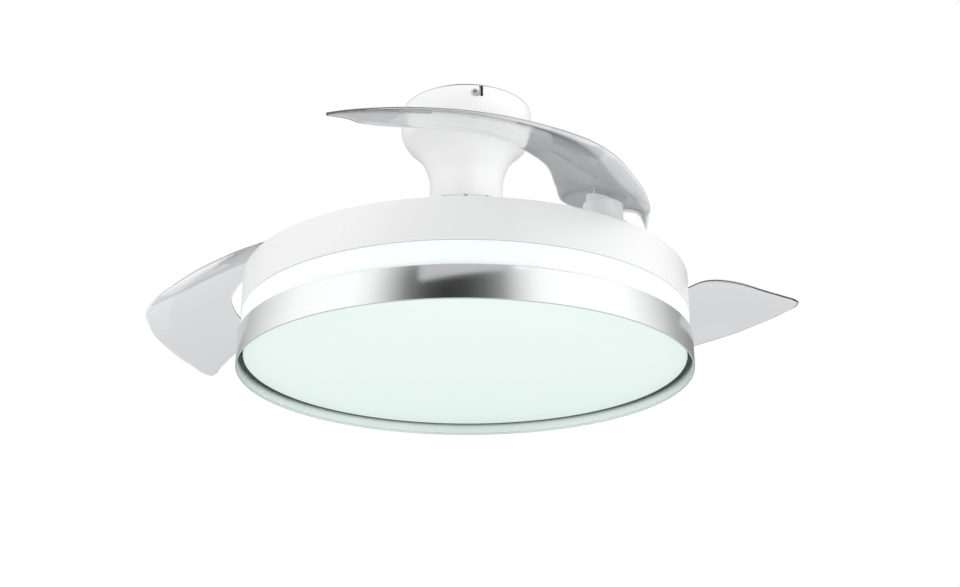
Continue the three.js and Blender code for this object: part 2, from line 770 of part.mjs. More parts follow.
// The blade is lofted between its two edges: strips run across from the outer edge to the inner one, on
// the pitched, drooping surface, and the middle of each strip bulges and is thicker than its edges.
function bladeBody() {
  const edge = (points) =>
    new THREE.SplineCurve(points.map(([x, y]) => new THREE.Vector2(x, y).multiplyScalar(bladeReach / 100)));
  const outer = edge(bladeOuterEdge);
  const inner = edge(bladeInnerEdge);
  const skin = (side) =>
    Array.from({ length: bladeSections + 1 }, (_, s) => {
      const from = outer.getPoint(s / bladeSections);
      const to = inner.getPoint(s / bladeSections);
      return Array.from({ length: bladeStrips + 1 }, (_, k) => {
        const across = k / bladeStrips;
        const x = from.x + (to.x - from.x) * across;
        const y = from.y + (to.y - from.y) * across;
        const bulge = 4 * across * (1 - across);
        const chord = Math.min(1, from.distanceTo(to) / fullChord);
        const thickness = bladeEdge + (bladeThickness - bladeEdge) * Math.sqrt(bulge);
        const middle = bladeHeight(x, y) + bladeCamber * bulge * chord;
        return new THREE.Vector3(x, y, middle + (side * thickness) / 2);
      });
    });
  const top = skin(1);
  const bottom = skin(-1);
  const corners = [];
  const quad = (a, b, c, d) => corners.push(a, b, c, a, c, d);
  for (let s = 0; s < bladeSections; s += 1) {
    for (let k = 0; k < bladeStrips; k += 1) {
      quad(top[s][k], top[s][k + 1], top[s + 1][k + 1], top[s + 1][k]);
      quad(bottom[s][k], bottom[s + 1][k], bottom[s + 1][k + 1], bottom[s][k + 1]);
    }
    quad(top[s][0], top[s + 1][0], bottom[s + 1][0], bottom[s][0]);
    quad(top[s + 1][bladeStrips], top[s][bladeStrips], bottom[s][bladeStrips], bottom[s + 1][bladeStrips]);
  }
  for (let k = 0; k < bladeStrips; k += 1) {
    quad(top[0][k + 1], top[0][k], bottom[0][k], bottom[0][k + 1]);
    const last = bladeSections;
    quad(top[last][k], top[last][k + 1], bottom[last][k + 1], bottom[last][k]);
  }
  const body = new THREE.BufferGeometry().setFromPoints(corners);
  body.computeVertexNormals();
  return body;
}

// What lies above the blade's underside, less a gap: it cuts the hub's slanting seat.
function aboveBlade(radius) {
  const steps = 6;
  const lower = [];
  for (let i = 0; i < steps; i += 1) {
    const angle = (i * 2 * Math.PI) / steps;
    const x = radius * Math.cos(angle);
    const y = radius * Math.sin(angle);
    lower.push(new THREE.Vector3(x, y, bladeUnderside(x, y)));
  }
  const middle = new THREE.Vector3(0, 0, bladeUnderside(0, 0));
  const lift = new THREE.Vector3(0, 0, 3 * hubHeight);
  const corners = [];
  for (let i = 0; i < steps; i += 1) {
    const a = lower[i];
    const b = lower[(i + 1) % steps];
    const raisedA = a.clone().add(lift);
    const raisedB = b.clone().add(lift);
    corners.push(b, a, middle);
    corners.push(raisedA, raisedB, middle.clone().add(lift));
    corners.push(a, b, raisedB);
    corners.push(a, raisedB, raisedA);
  }
  return new THREE.BufferGeometry().setFromPoints(corners);
}

function bladeUnderside(x, y) {
  return bladeHeight(x, y) - bladeThickness / 2 - gap;
}

function screwPlaces() {
  return [-1, 1].map((side) => [0, side * bladeScrewCircle]);
}

function bladeWithHoles() {
  const radius = boreRadius(bladeScrewRadius, screwFacets);
  const holes = screwPlaces().map(([x, y]) => rod(radius, 0, 3 * hubHeight, screwFacets).translate(x, y, 0));
  return cut(bladeBody(), ...holes);
}

function hub() {
  const inside = hubRadius - hubWall;
  const bore = boreRadius(pinRadius, hubFacets);
  const barrel = turned(
    [
      [bore, hubHeight - hubWall],
      [inside, hubHeight - hubWall],
      [inside, gap],
      [hubRadius, gap],
      [hubRadius, hubHeight],
      [bore, hubHeight],
    ],
    hubFacets,
  );
  const well = boreRadius(pinHeadRadius, hubFacets); // round the pin's head
  const collar = ring(hubSeatRadius, well, hubHeight - hubWall / 2, hubHeight, hubFacets);
  const seat = cut(collar, aboveBlade(hubRadius * 2));
  const notch = sector(
    hubRadius + 2,
    inside - 2,
    stopAzimuth - openStop - stopHalfAngle - 1,
    stopAzimuth - closedStop + stopHalfAngle + 1,
    gap - 1,
    stopHeight + 2 * gap + 1,
  );
  const hole = boreRadius(bladeScrewRadius, screwFacets);
  const screwHoles = screwPlaces().map(([x, y]) =>
    rod(hole, bladeScrewFoot - gap, 3 * hubHeight, screwFacets).translate(x, y, 0),
  );
  return cut(join(barrel, seat), notch, ...screwHoles);
}

function returnSpring() {
  const steps = 7;
  const foot = gap + springWire;
  const top = hubHeight - hubWall - gap - springWire;
  const sides = 4;
  const points = [];
  for (let i = 0; i <= springTurns * steps; i += 1) {
    const share = i / (springTurns * steps);
    const angle = share * springTurns * 2 * Math.PI;
    points.push([angle, foot + share * (top - foot)]);
  }
  const rings = points.map(([angle, height]) =>
    Array.from({ length: sides }, (_, k) => {
      const turn = (k * 2 * Math.PI) / sides;
      const radius = springRadius + springWire * Math.cos(turn);
      return new THREE.Vector3(
        radius * Math.cos(angle),
        radius * Math.sin(angle),
        height + springWire * Math.sin(turn),
      );
    }),
  );
  const corners = [];
  for (let i = 0; i < rings.length - 1; i += 1) {
    for (let k = 0; k < sides; k += 1) {
      const next = (k + 1) % sides;
      corners.push(rings[i][k], rings[i + 1][k], rings[i + 1][next]);
      corners.push(rings[i][k], rings[i + 1][next], rings[i][next]);
    }
  }
  const last = rings.length - 1;
  for (let k = 1; k < sides - 1; k += 1) {
    corners.push(rings[0][0], rings[0][k], rings[0][k + 1]);
    corners.push(rings[last][0], rings[last][k + 1], rings[last][k]);
  }
  const coil = new THREE.BufferGeometry().setFromPoints(corners);
  coil.computeVertexNormals();
  return coil;
}

function pivotPin() {
  const foot = gap - padHeight - carrierThickness + pinRadius * Math.tan(radians(pivotLean));
  return turned(
    [
      [0, foot],
      [pinRadius, foot],
      [pinRadius, hubHeight + gap],
      [pinHeadRadius, hubHeight + gap],
      [pinHeadRadius, hubHeight + gap + pinHeadHeight],
      [0, hubHeight + gap + pinHeadHeight],
    ],
    12,
  );
}

piece("blade_carrier", carrier(), finish.whitePlastic);
around(bladeCount, (angle, i) => {
  const seat = frame(
    hanging,
    carrierScrewCircle * Math.cos(angle),
    carrierScrewCircle * Math.sin(angle),
    carrierFoot - gap,
  );
  const upward = screw(carrierThickness + motorWall - gap, carrierScrewRadius, 2 * carrierScrewRadius, 1.4)
    .rotateX(Math.PI);
  piece(`carrier_screw_${i + 1}`, upward, finish.steel, seat);
});
for (let i = 0; i < bladeCount; i += 1) {
  const fixed = pivotFrame(i);
  const turning = new THREE.Group();
  turning.rotation.z = radians(restOpening[i]);
  fixed.add(turning);
  piece(`pivot_pin_${i + 1}`, pivotPin(), finish.steel, fixed);
  piece(`return_spring_${i + 1}`, returnSpring(), finish.steel, fixed);
  piece(`blade_hub_${i + 1}`, hub(), finish.greyPlastic, turning);
  piece(`blade_${i + 1}`, bladeWithHoles(), finish.clearBlade, turning);
  screwPlaces().forEach(([x, y], k) => {
    const seat = bladeHeight(x, y) + bladeThickness / 2 + bladeCamber + 2 * gap;
    const fastener = screw(seat - bladeScrewFoot, bladeScrewRadius, 2 * bladeScrewRadius, bladeScrewRadius)
      .translate(x, y, seat);
    piece(`blade_screw_${i + 1}_${k + 1}`, fastener, finish.steel, turning);
  });
}

// ---------------------------------------------------------------- lamp

function topPan() {
  const rimRadius = coverInside - gap;
  const skin = lampTop - panThickness;
  const low = lampTop - panStep;
  return turned(
    [
      [shaftRadius, skin],
      [panStepRadius, skin],
      [panStepRadius + panStep, low - panThickness],
      [rimRadius - panThickness, low - panThickness],
      [rimRadius - panThickness, low - panRimDepth],
      [rimRadius, low - panRimDepth],
      [rimRadius, low],
      [panStepRadius + panStep + 1, low],
      [panStepRadius + 1, lampTop],
      [shaftRadius, lampTop],
    ],
    lampFacets,
  );
}

function whiteRing() {
  const panLedge = lampTop - panStep - panRimDepth - gap;
  return turned(
    [
      [coverRadius, coverFoot],
      [coverRadius, coverTop],
      [coverInside, coverTop],
      [coverInside, panLedge],
      [coverInside - ledgeWidth, panLedge],
      [coverInside - ledgeWidth, panLedge - ledgeThickness],
      [coverInside, panLedge - ledgeThickness],
      [coverInside, coverFoot + ledgeThickness],
      [coverInside - ledgeWidth, coverFoot + ledgeThickness],
      [coverInside - ledgeWidth, coverFoot],
    ],
    lampFacets,
  );
}

function metalRing() {
  const top = metalHeight;
  const bandSeat = bandRadius - 2 * bandWall; // inner edge of the flange under the band
  return turned(
    [
      [lampRadius - metalHem, 0],
      [lampRadius, 0],
      [lampRadius, top],
      [bandSeat, top],
      [bandSeat, top - metalWall],
      [metalInside, top - metalWall],
      [metalInside, metalHemHeight],
      [lampRadius - metalHem, metalHemHeight - 1],
    ],
    lampFacets,
  );
}

function diffuser() {
  const wallTop = metalHeight - metalWall - gap;
  const flangeFoot = wallTop - diffuserWall;
  return turned(
    [
      [0, diffuserRecess],
      [diffuserRadius - diffuserWall, diffuserRecess],
      [diffuserRadius, diffuserRecess + diffuserWall],
      [diffuserRadius, flangeFoot],
      [diffuserRadius + diffuserFlange, flangeFoot],
      [diffuserRadius + diffuserFlange, wallTop],
      [diffuserRadius - diffuserWall, wallTop],
      [diffuserRadius - diffuserWall, diffuserRecess + diffuserWall],
      [0, diffuserRecess + diffuserWall],
    ],
    lampFacets,
  );
}

function diffuserClip() {
  const top = metalHeight - metalWall - 2 * gap - diffuserWall;
  const inner = diffuserRadius + gap;
  const flats = metalInside * Math.cos(Math.PI / lampFacets); // of the ring's faceted wall
  const outer = flats - gap;
  const half = THREE.MathUtils.radToDeg(clipWidth / 2 / lampRadius);
  return sector(outer, inner, -half, half, top - clipThickness, clipThickness);
}

function tray() {
  const foot = trayTop - trayThickness;
  const plate = ring(trayRadius, trayOpening, foot, trayThickness, lampFacets);
  const holes = around(3, (angle) =>
    rod(boreRadius(screwRadius, screwFacets), foot - 1, trayThickness + 2, screwFacets)
      .translate(standoffCircle, 0, 0)
      .rotateZ(angle),
  );
  return cut(plate, ...holes);
}

// Board with its LEDs on the underside.
function ledBoard() {
  const top = trayTop - trayThickness - gap;
  const foot = top - boardThickness;
  const board = ring(boardOuter, boardInner, foot, boardThickness, 30);
  const holes = around(3, (angle) =>
    rod(standoffRadius, foot - 1, boardThickness + 2, screwFacets)
      .translate(standoffCircle, 0, 0)
      .rotateZ(angle),
  );
  const leds = ledRings.flatMap((circle, row) =>
    around(ledsPerRing, (angle) =>
      block(ledSize, ledSize, ledHeight + 0.5, foot - ledHeight)
        .translate(circle, 0, 0)
        .rotateZ(angle + (row + 0.5) * 0.2),
    ),
  );
  return join(cut(board, ...holes), ...leds);
}

function driver() {
  const [width, depth, height] = driverSize;
  const foot = trayTop + gap;
  const box = roundedBlock(width, depth, height, foot, boxCorner);
  const ears = [-1, 1].map((side) =>
    roundedBlock(2 * driverEar, depth / 3, earThickness, foot, boxCorner)
      .translate((side * width) / 2, 0, 0),
  );
  return join(box, ...ears).translate(0, driverOffset, 0);
}

// A post between pan and tray. Its lower end is riveted through the tray.
function standoff() {
  const foot = trayTop + gap;
  const top = lampTop - panThickness - gap;
  const rivetFoot = trayTop - trayThickness - gap;
  return turned(
    [
      [0, rivetFoot - rivetHead],
      [rivetRadius, rivetFoot - rivetHead],
      [rivetRadius, rivetFoot],
      [screwRadius, rivetFoot],
      [screwRadius, foot],
      [standoffRadius, foot],
      [standoffRadius, top],
      [0, top],
    ],
    screwFacets,
  );
}

function lampNut() {
  const top = lampTop - panThickness - gap;
  const hexagon = new THREE.CylinderGeometry(nutAcross / Math.sqrt(3), nutAcross / Math.sqrt(3), nutHeight, 6)
    .rotateX(Math.PI / 2)
    .translate(0, 0, top - nutHeight / 2);
  return cut(hexagon, rod(shaftRadius, top - nutHeight - 1, nutHeight + 2));
}

piece(
  "tube_collar",
  turned(
    [
      [shaftRadius, lampTop + gap],
      [collarRadius, lampTop + gap],
      [collarRadius, lampTop + gap + collarFlange],
      [shaftRadius + collarWall, lampTop + gap + 2 * collarFlange],
      [shaftRadius + collarWall, lowerBearingFoot - gap],
      [shaftRadius, lowerBearingFoot - gap],
    ],
    shaftFacets,
  ),
  finish.steel,
);
piece("lamp_nut", lampNut(), finish.steel);
piece("lamp_top_pan", topPan(), finish.whiteMetal);
piece("white_ring", whiteRing(), finish.whitePlastic);
piece("light_band", ring(bandRadius, bandRadius - bandWall, bandFoot, bandHeight, lampFacets), finish.opal);
piece("metal_ring", metalRing(), finish.silver);
piece("diffuser", diffuser(), finish.opal);
piece("led_tray", tray(), finish.aluminium);
piece("led_board", ledBoard(), finish.board);
piece("led_driver", driver(), finish.whitePlastic);
around(3, (angle, i) => {
  const seat = frame(hanging, standoffCircle * Math.cos(angle), standoffCircle * Math.sin(angle), 0);
  piece(`tray_standoff_${i + 1}`, standoff(), finish.aluminium, seat);
  const clipSeat = frame(hanging, 0, 0, 0, angle + Math.PI / 3);
  piece(`diffuser_clip_${i + 1}`, diffuserClip(), finish.blackPlastic, clipSeat);
});

export default fan;
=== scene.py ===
import json
import math

import bmesh
import bpy
import numpy as np
from mathutils import Matrix, Vector


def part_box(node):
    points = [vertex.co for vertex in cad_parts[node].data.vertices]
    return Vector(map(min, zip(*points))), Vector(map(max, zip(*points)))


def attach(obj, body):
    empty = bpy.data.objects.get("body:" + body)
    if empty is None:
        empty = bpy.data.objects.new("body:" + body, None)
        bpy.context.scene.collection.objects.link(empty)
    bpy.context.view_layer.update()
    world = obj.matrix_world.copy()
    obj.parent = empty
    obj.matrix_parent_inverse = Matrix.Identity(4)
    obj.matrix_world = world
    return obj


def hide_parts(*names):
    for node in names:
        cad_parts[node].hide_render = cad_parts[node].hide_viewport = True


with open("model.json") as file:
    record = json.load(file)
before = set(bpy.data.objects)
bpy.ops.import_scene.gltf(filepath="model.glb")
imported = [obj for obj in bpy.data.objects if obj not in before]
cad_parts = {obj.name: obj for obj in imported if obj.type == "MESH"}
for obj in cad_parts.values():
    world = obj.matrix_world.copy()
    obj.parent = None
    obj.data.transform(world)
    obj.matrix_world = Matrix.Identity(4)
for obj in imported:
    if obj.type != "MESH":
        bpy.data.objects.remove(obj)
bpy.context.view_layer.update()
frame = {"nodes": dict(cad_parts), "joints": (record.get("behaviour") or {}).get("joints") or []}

MM = 0.001

# ---------------------------------------------------------------- named values

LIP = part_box("metal_ring")[0].z  # lower edge of the lamp
LAMP_SEGMENTS = 240
SMALL_SEGMENTS = 96
GAP = 0.3 * MM
CUT_REACH = 4 * MM  # how far a cutter goes past what it cuts
SOFT_EDGE = np.array([(-0.5, 0), (-0.15, -0.15), (0, -0.5)]) * MM  # in and down from an upper corner

METAL_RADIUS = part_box("metal_ring")[1].x
METAL_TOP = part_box("metal_ring")[1].z
METAL_WALL = 1.4 * MM
METAL_HEM = 1.8 * MM
METAL_HEM_HEIGHT = 2.4 * MM
METAL_HEM_SLOPE = 0.7 * MM
METAL_SEAT = 241 * MM

BAND_LOW, BAND_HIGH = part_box("light_band")
BAND_WALL = 3.0 * MM

RING_LOW, RING_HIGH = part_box("white_ring")
RING_WALL = 2.6 * MM
RING_LEDGE = 8.0 * MM
RING_LEDGE_THICK = 2.4 * MM

PAN_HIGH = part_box("lamp_top_pan")[1]
PAN_THICK = 1.2 * MM
PAN_STEP = 2.4 * MM
PAN_STEP_RADIUS = 150 * MM
PAN_STEP_OFFSET = 1 * MM  # from the lower skin's step to the upper skin's
PAN_RIM_DEPTH = 9 * MM
TUBE_BORE = 10.3 * MM

DIFFUSER_LOW, DIFFUSER_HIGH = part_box("diffuser")
DIFFUSER_WALL = 2.5 * MM
DIFFUSER_CHAMFER = 1.0 * MM
DIFFUSER_FLANGE = 4.6 * MM

CANOPY_LOW, CANOPY_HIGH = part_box("canopy")
CANOPY_WALL = 2.2 * MM
CANOPY_NECK = 42.5 * MM
CANOPY_NECK_EDGE = np.array([(0, 1.2), (-0.35, 0.35), (-1.1, 0)]) * MM  # in and up from the neck's corner
CANOPY_RIM_HEIGHT = 21.5 * MM
CANOPY_CURVE = np.array([
    (0, 0), (2, 8), (6, 15), (13, 21.5), (24, 35), (30, 48), (34, 61), (35, 74),
]) * MM  # how far in and how far down from the end of the upright rim
SLOT_ANGLE = math.radians(-77)
SLOT_TURN = math.radians(5.3)
SLOT_WIDTH = 4.6 * MM
SLOT_DEPTH = 13.5 * MM
SCREW_DROP = 9.4 * MM
SCREW_RADIUS = 2.0 * MM

PLATE_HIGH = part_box("ceiling_plate")[1]
PLATE_THICK = 1.5 * MM
PLATE_OPENING = 19 * MM
PLATE_SLOT_LENGTH = 14 * MM
PLATE_SLOT_WIDTH = 5 * MM
PLATE_SLOT_CIRCLE = 52 * MM
TAB_WIDTH = 14 * MM
TAB_DROP = 15.7 * MM
TAB_ROOT = 0.5 * MM
TAB_HOLE = 2.4 * MM

MOTOR_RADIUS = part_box("motor_upper_shell")[1].x
MOTOR_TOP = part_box("motor_upper_shell")[1].z
MOTOR_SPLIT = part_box("motor_upper_shell")[0].z
MOTOR_FOOT, MOTOR_BASE_TOP = (corner.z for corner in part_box("motor_lower_shell"))
MOTOR_WALL = 2.6 * MM
MOTOR_EDGE = 0.4 * MM
MOTOR_SHOULDER = 14 * MM
MOTOR_MOUTH = 15 * MM
MOTOR_SCREW_HOLE = 2.1 * MM
BEARING_SEAT = 21.3 * MM
BEARING_SEAT_WALL = 2.4 * MM
BEARING_SEAT_DEPTH = 9 * MM
VENTS = 18
VENT_CIRCLE = 68 * MM
VENT_LENGTH = 8 * MM
VENT_WIDTH = 4.4 * MM

CARRIER_THICK = 4 * MM
CARRIER_FOOT = LIP + 106.4 * MM
CARRIER_TOP = CARRIER_FOOT + CARRIER_THICK
CARRIER_RADIUS = 176 * MM
CARRIER_BORE = 24 * MM
CARRIER_WINDOW = 15 * MM
CARRIER_WINDOW_CIRCLE = 104 * MM
CARRIER_SCREW_HOLE = 2.3 * MM
CARRIER_SCREW_CIRCLE = 52 * MM
EAR_RADIUS = 25.5 * MM
PAD_RADIUS = 23 * MM
PAD_HEIGHT = 2.1 * MM

HUB_RADIUS = 20.5 * MM
HUB_WALL = 3 * MM
HUB_HEIGHT = 20.5 * MM
HUB_SEAT = 17 * MM
HUB_COLLAR = 20 * MM  # before it is cut on the slant
HUB_CUT = 26  # half the width of what cuts it, in millimetres
HUB_CUT_TOP = 80
PIN_RADIUS = 5 * MM
PIN_RISE = 0.22 * MM
PIN_HEAD = 8 * MM
PIN_HEAD_HEIGHT = 2 * MM
PIN_BORE = 5.45 * MM
PIN_WELL = 8.5 * MM
SPRING_RADIUS = 11 * MM
SPRING_WIRE = 1.4 * MM
STOP_RADIUS = HUB_RADIUS - HUB_WALL / 2
STOP_WIDTH = 5 * MM
STOP_HEIGHT = 4 * MM
STOP_HALF = math.degrees(STOP_WIDTH / 2 / STOP_RADIUS)
CLOSED_STOP = -60  # degrees, as the first blade stands in the photograph
OPEN_STOP = 8

# The blade in its hub's frame, in millimetres: x outwards, -y to the tip, z along the hinge pin.
BLADE_OUTER = np.array([
    (0.5, 65.5), (26, 40), (50, 15), (77, -24), (98, -64), (118, -103), (130, -149), (124, -197),
    (110, -246), (84, -298), (63, -328), (48, -347), (35, -356),
])
BLADE_INNER = np.array([
    (0.5, 62.5), (16, 33), (-6, 27), (-46, 20), (-57, -3), (-29, -40), (10, -92), (28, -160),
    (19, -211), (-4, -260), (-3, -295), (14, -322), (28, -350),
])
BLADE_RISE = 27.5
BLADE_SLOPES = (-0.2813, -0.1737)  # along x and y
BLADE_BENDS = (-0.000625, -0.000399, -0.000787)  # with xx, xy and yy
BLADE_THICK = 2.6
BLADE_EDGE = 1.4
BLADE_CAMBER = 3.5
FULL_CHORD = 80
BLADE_SCREW_CIRCLE = 13
BLADE_SCREW_ROOM = 0.6
BLADE_SCREW_HOLE = 1.9 * MM
BLADE_SCREW_REACH = 60 * MM

# Screws: the shank's radius, the head's radius and height, and the length.
CANOPY_SCREW = (SCREW_RADIUS, 4.1 * MM, 2.6 * MM, 8.2 * MM)
CARRIER_SCREW = (1.7 * MM, 3.4 * MM, 1.4 * MM, 6.3 * MM)
BLADE_SCREW = (1.5 * MM, 3.0 * MM, 1.5 * MM)


# ---------------------------------------------------------------- surfaces

def grid_piece(name, points, around=False, across=True, flip=False, uv=None):
    """A grid of points as one mesh: point (i, j) joins (i+1, j), (i+1, j+1) and (i, j+1). Around closes the
    first way, across the second."""
    rows, columns = points.shape[:2]
    index = np.arange(rows * columns).reshape(rows, columns)
    if around:
        index = np.concatenate([index, index[:1]], axis=0)
    if across:
        index = np.concatenate([index, index[:, :1]], axis=1)
    quads = np.stack([index[:-1, :-1], index[1:, :-1], index[1:, 1:], index[:-1, 1:]], axis=-1).reshape(-1, 4)
    if flip:
        quads = quads[:, ::-1]
    mesh = bpy.data.meshes.new(name)
    mesh.vertices.add(rows * columns)
    mesh.vertices.foreach_set("co", points.reshape(-1))
    mesh.loops.add(quads.size)
    mesh.loops.foreach_set("vertex_index", quads.reshape(-1))
    mesh.polygons.add(len(quads))
    mesh.polygons.foreach_set("loop_start", np.arange(len(quads)) * 4)
    mesh.polygons.foreach_set("loop_total", np.full(len(quads), 4))
    if uv is not None:
        layer = mesh.uv_layers.new(name="along_across")
        layer.data.foreach_set("uv", uv.reshape(-1, 2)[quads.reshape(-1)].reshape(-1))
    mesh.update(calc_edges=True)
    mesh.validate()
    piece = bpy.data.objects.new(name, mesh)
    bpy.context.scene.collection.objects.link(piece)
    return piece


def tidied(piece, closed=True):
    """Merges points that fall together. A closed piece gets its open ends filled and its faces outwards."""
    work = bmesh.new()
    work.from_mesh(piece.data)
    bmesh.ops.remove_doubles(work, verts=work.verts, dist=2e-7)
    open_edges = [edge for edge in work.edges if edge.is_boundary]
    if closed and open_edges:
        bmesh.ops.holes_fill(work, edges=open_edges, sides=0)
    if closed:
        bmesh.ops.recalc_face_normals(work, faces=work.faces)
    work.to_mesh(piece.data)
    work.free()
    return piece


def smooth(piece, angle=32):
    """Smooth shading, with edges steeper than the angle kept crisp."""
    piece.data.shade_smooth()
    piece.data.set_sharp_from_angle(angle=math.radians(angle))
    return piece


def placed(piece, matrix):
    """The matrix goes into the mesh, so that the object itself stays at the origin. One that mirrors turns
    the faces inside out, so they are turned back."""
    piece.data.transform(matrix)
    if matrix.determinant() < 0:
        piece.data.flip_normals()
    piece.data.update()
    return piece


def turn_z(angle):
    return Matrix.Rotation(angle, 4, "Z")


def circle_places(count, distance, start=0.0, height=0.0):
    """Evenly spaced places on a circle round Z."""
    step = 2 * math.pi / count
    return [turn_z(start + k * step) @ Matrix.Translation((distance, 0, height)) for k in range(count)]


def standing(outwards, height, up=1):
    """Stands a flat outline up, facing out along X: its x goes along Y, and its y up, or down for -1."""
    return Matrix(((0, 0, 1, outwards), (1, 0, 0, 0), (0, up, 0, height), (0, 0, 0, 1)))


def rounded(corners, radii, steps=6):
    """A closed outline with each corner replaced by an arc of its radius in millimetres. The arc touches
    both sides at radius over the tangent of half the corner's angle, but never past the middle of a side."""
    corners = np.asarray(corners, float)
    out = []
    for corner, before, after, radius in zip(
        corners, np.roll(corners, 1, 0), np.roll(corners, -1, 0), np.asarray(radii) * MM, strict=True,
    ):
        to_before = (before - corner) / np.linalg.norm(before - corner)
        to_after = (after - corner) / np.linalg.norm(after - corner)
        half = math.acos(np.clip(to_before @ to_after, -1, 1)) / 2
        if radius <= 0 or half > math.radians(88):
            out.append(corner[None])
            continue
        shortest = min(np.linalg.norm(before - corner), np.linalg.norm(after - corner)) * 0.49
        reach = min(radius / math.tan(half), shortest)
        radius = reach * math.tan(half)
        middle = to_before + to_after
        centre = corner + middle / np.linalg.norm(middle) * radius / math.sin(half)
        start = corner + to_before * reach - centre
        end = corner + to_after * reach - centre
        turn = math.atan2(start[0] * end[1] - start[1] * end[0], start @ end)
        angle = np.linspace(0, turn, steps)[:, None]
        out.append(centre + start * np.cos(angle) + np.array([-start[1], start[0]]) * np.sin(angle))
    return np.concatenate(out)


def catmull(points, count):
    """A curve through the points: in each span the uniform Catmull-Rom cubic of the four points round it,
    with the end points doubled."""
    share = np.linspace(0, len(points) - 1, count)
    span = np.minimum(share.astype(int), len(points) - 2)
    t = (share - span)[:, None]
    last = len(points) - 1
    p0, p1 = points[np.maximum(span - 1, 0)], points[span]
    p2, p3 = points[span + 1], points[np.minimum(span + 2, last)]
    v0, v1 = (p2 - p0) / 2, (p3 - p1) / 2
    return (2 * p1 - 2 * p2 + v0 + v1) * t ** 3 + (-3 * p1 + 3 * p2 - 2 * v0 - v1) * t ** 2 + v0 * t + p1


def revolved(radius, height, segments):
    """Points (r cos a, r sin a, h) at even angles a round Z, for each radius and height."""
    angle = (np.arange(segments) * 2 * math.pi / segments)[:, None]
    return np.stack(np.broadcast_arrays(radius * np.cos(angle), radius * np.sin(angle), height), axis=-1)


def turned(name, profile, segments=SMALL_SEGMENTS):
    """A closed outline of (radius, height) turned round Z."""
    radius, height = np.asarray(profile, float).T
    return tidied(grid_piece(name, revolved(radius, height, segments), around=True))


def drill(radius, low, high, place, segments=32):
    """A round cutter from one height to another, moved to its place."""
    return placed(turned("drill", [(0, low), (radius, low), (radius, high), (0, high)], segments), place)


def prism(name, outline, foot, top, edge=0.0, steps=4):
    """A flat outline raised from foot to top. Its edges are rounded: ring k lies at a quarter circle's
    height and is drawn in along the outline's normals by the rest of the circle."""
    outline = np.asarray(outline, float)
    tangent = np.roll(outline, -1, 0) - np.roll(outline, 1, 0)
    tangent /= np.linalg.norm(tangent, axis=1)[:, None]
    inward = np.stack([-tangent[:, 1], tangent[:, 0]], axis=1)
    angle = np.linspace(0, math.pi / 2, steps) if edge else np.zeros(1)
    draw = edge * (1 - np.sin(angle))
    lift = edge * (1 - np.cos(angle))
    insets = np.concatenate([draw, draw[::-1]])
    heights = np.concatenate([foot + lift, top - lift[::-1]])
    flat = outline[None] + inward[None] * insets[:, None, None]
    points = np.concatenate([flat, np.broadcast_to(heights[:, None, None], flat.shape[:2] + (1,))], axis=2)
    return tidied(grid_piece(name, points.transpose(1, 0, 2), around=True, across=False))


def oblong(length, width, steps=10):
    """Outline of a slot: two half circles of the slot's width, half its straight length apart each."""
    angle = np.linspace(-math.pi / 2, math.pi / 2, steps)
    end = np.stack([np.cos(angle), np.sin(angle)], axis=1) * width / 2
    end[:, 0] += (length - width) / 2
    return np.concatenate([end, -end])


def carved(piece, cutters, how="DIFFERENCE"):
    """Takes the cutters out of the piece, or adds them to it, and removes them."""
    for cutter in cutters:
        cut = piece.modifiers.new("cut", "BOOLEAN")
        cut.operation = how
        cut.solver = "EXACT"
        cut.object = cutter
        bpy.context.view_layer.update()
        done = bpy.data.meshes.new_from_object(piece.evaluated_get(bpy.context.evaluated_depsgraph_get()))
        piece.modifiers.remove(cut)
        done.name = piece.name
        piece.data = done
        bpy.data.objects.remove(cutter)
    return piece


# ---------------------------------------------------------------- lamp

def metal_ring():
    """Outline of a thin upright wall with a rolled lower edge and a flange that turns in at its top."""
    r, inside, hem = METAL_RADIUS, METAL_RADIUS - METAL_WALL, METAL_RADIUS - METAL_HEM
    under, hem_top = METAL_TOP - METAL_WALL, LIP + METAL_HEM_HEIGHT
    profile = rounded(
        [
            (hem, LIP), (r, LIP), (r, METAL_TOP), (METAL_SEAT, METAL_TOP), (METAL_SEAT, under), (inside, under),
            (inside, hem_top), (hem, hem_top - METAL_HEM_SLOPE),
        ],
        [0.8, 0.9, 0.8, 0.4, 0.4, 0.5, 0.8, 0.6],
    )
    return smooth(turned("polished_ring", profile, LAMP_SEGMENTS))


def light_band():
    """Outline of a plain upright wall with softened edges."""
    r, foot, top = BAND_HIGH.x, BAND_LOW.z, BAND_HIGH.z
    profile = rounded([(r - BAND_WALL, foot), (r, foot), (r, top), (r - BAND_WALL, top)], [0.4, 0.6, 0.6, 0.4])
    return smooth(turned("glowing_band", profile, LAMP_SEGMENTS))


def white_ring():
    """Outline of the upper ring: an upright wall, a softly rounded upper edge and two inner ledges."""
    r, foot, top = RING_HIGH.x, RING_LOW.z, RING_HIGH.z
    inside = r - RING_WALL
    reach = inside - RING_LEDGE
    ledge = PAN_HIGH.z - PAN_STEP - PAN_RIM_DEPTH - GAP
    profile = rounded(
        [
            (r, foot), (r, top), (inside, top), (inside, ledge), (reach, ledge), (reach, ledge - RING_LEDGE_THICK),
            (inside, ledge - RING_LEDGE_THICK), (inside, foot + RING_LEDGE_THICK),
            (reach, foot + RING_LEDGE_THICK), (reach, foot),
        ],
        [0.7, 1.5, 0.8, 0.3, 0.6, 0.6, 0.4, 0.4, 0.6, 0.6],
    )
    return smooth(turned("upper_ring", profile, LAMP_SEGMENTS))


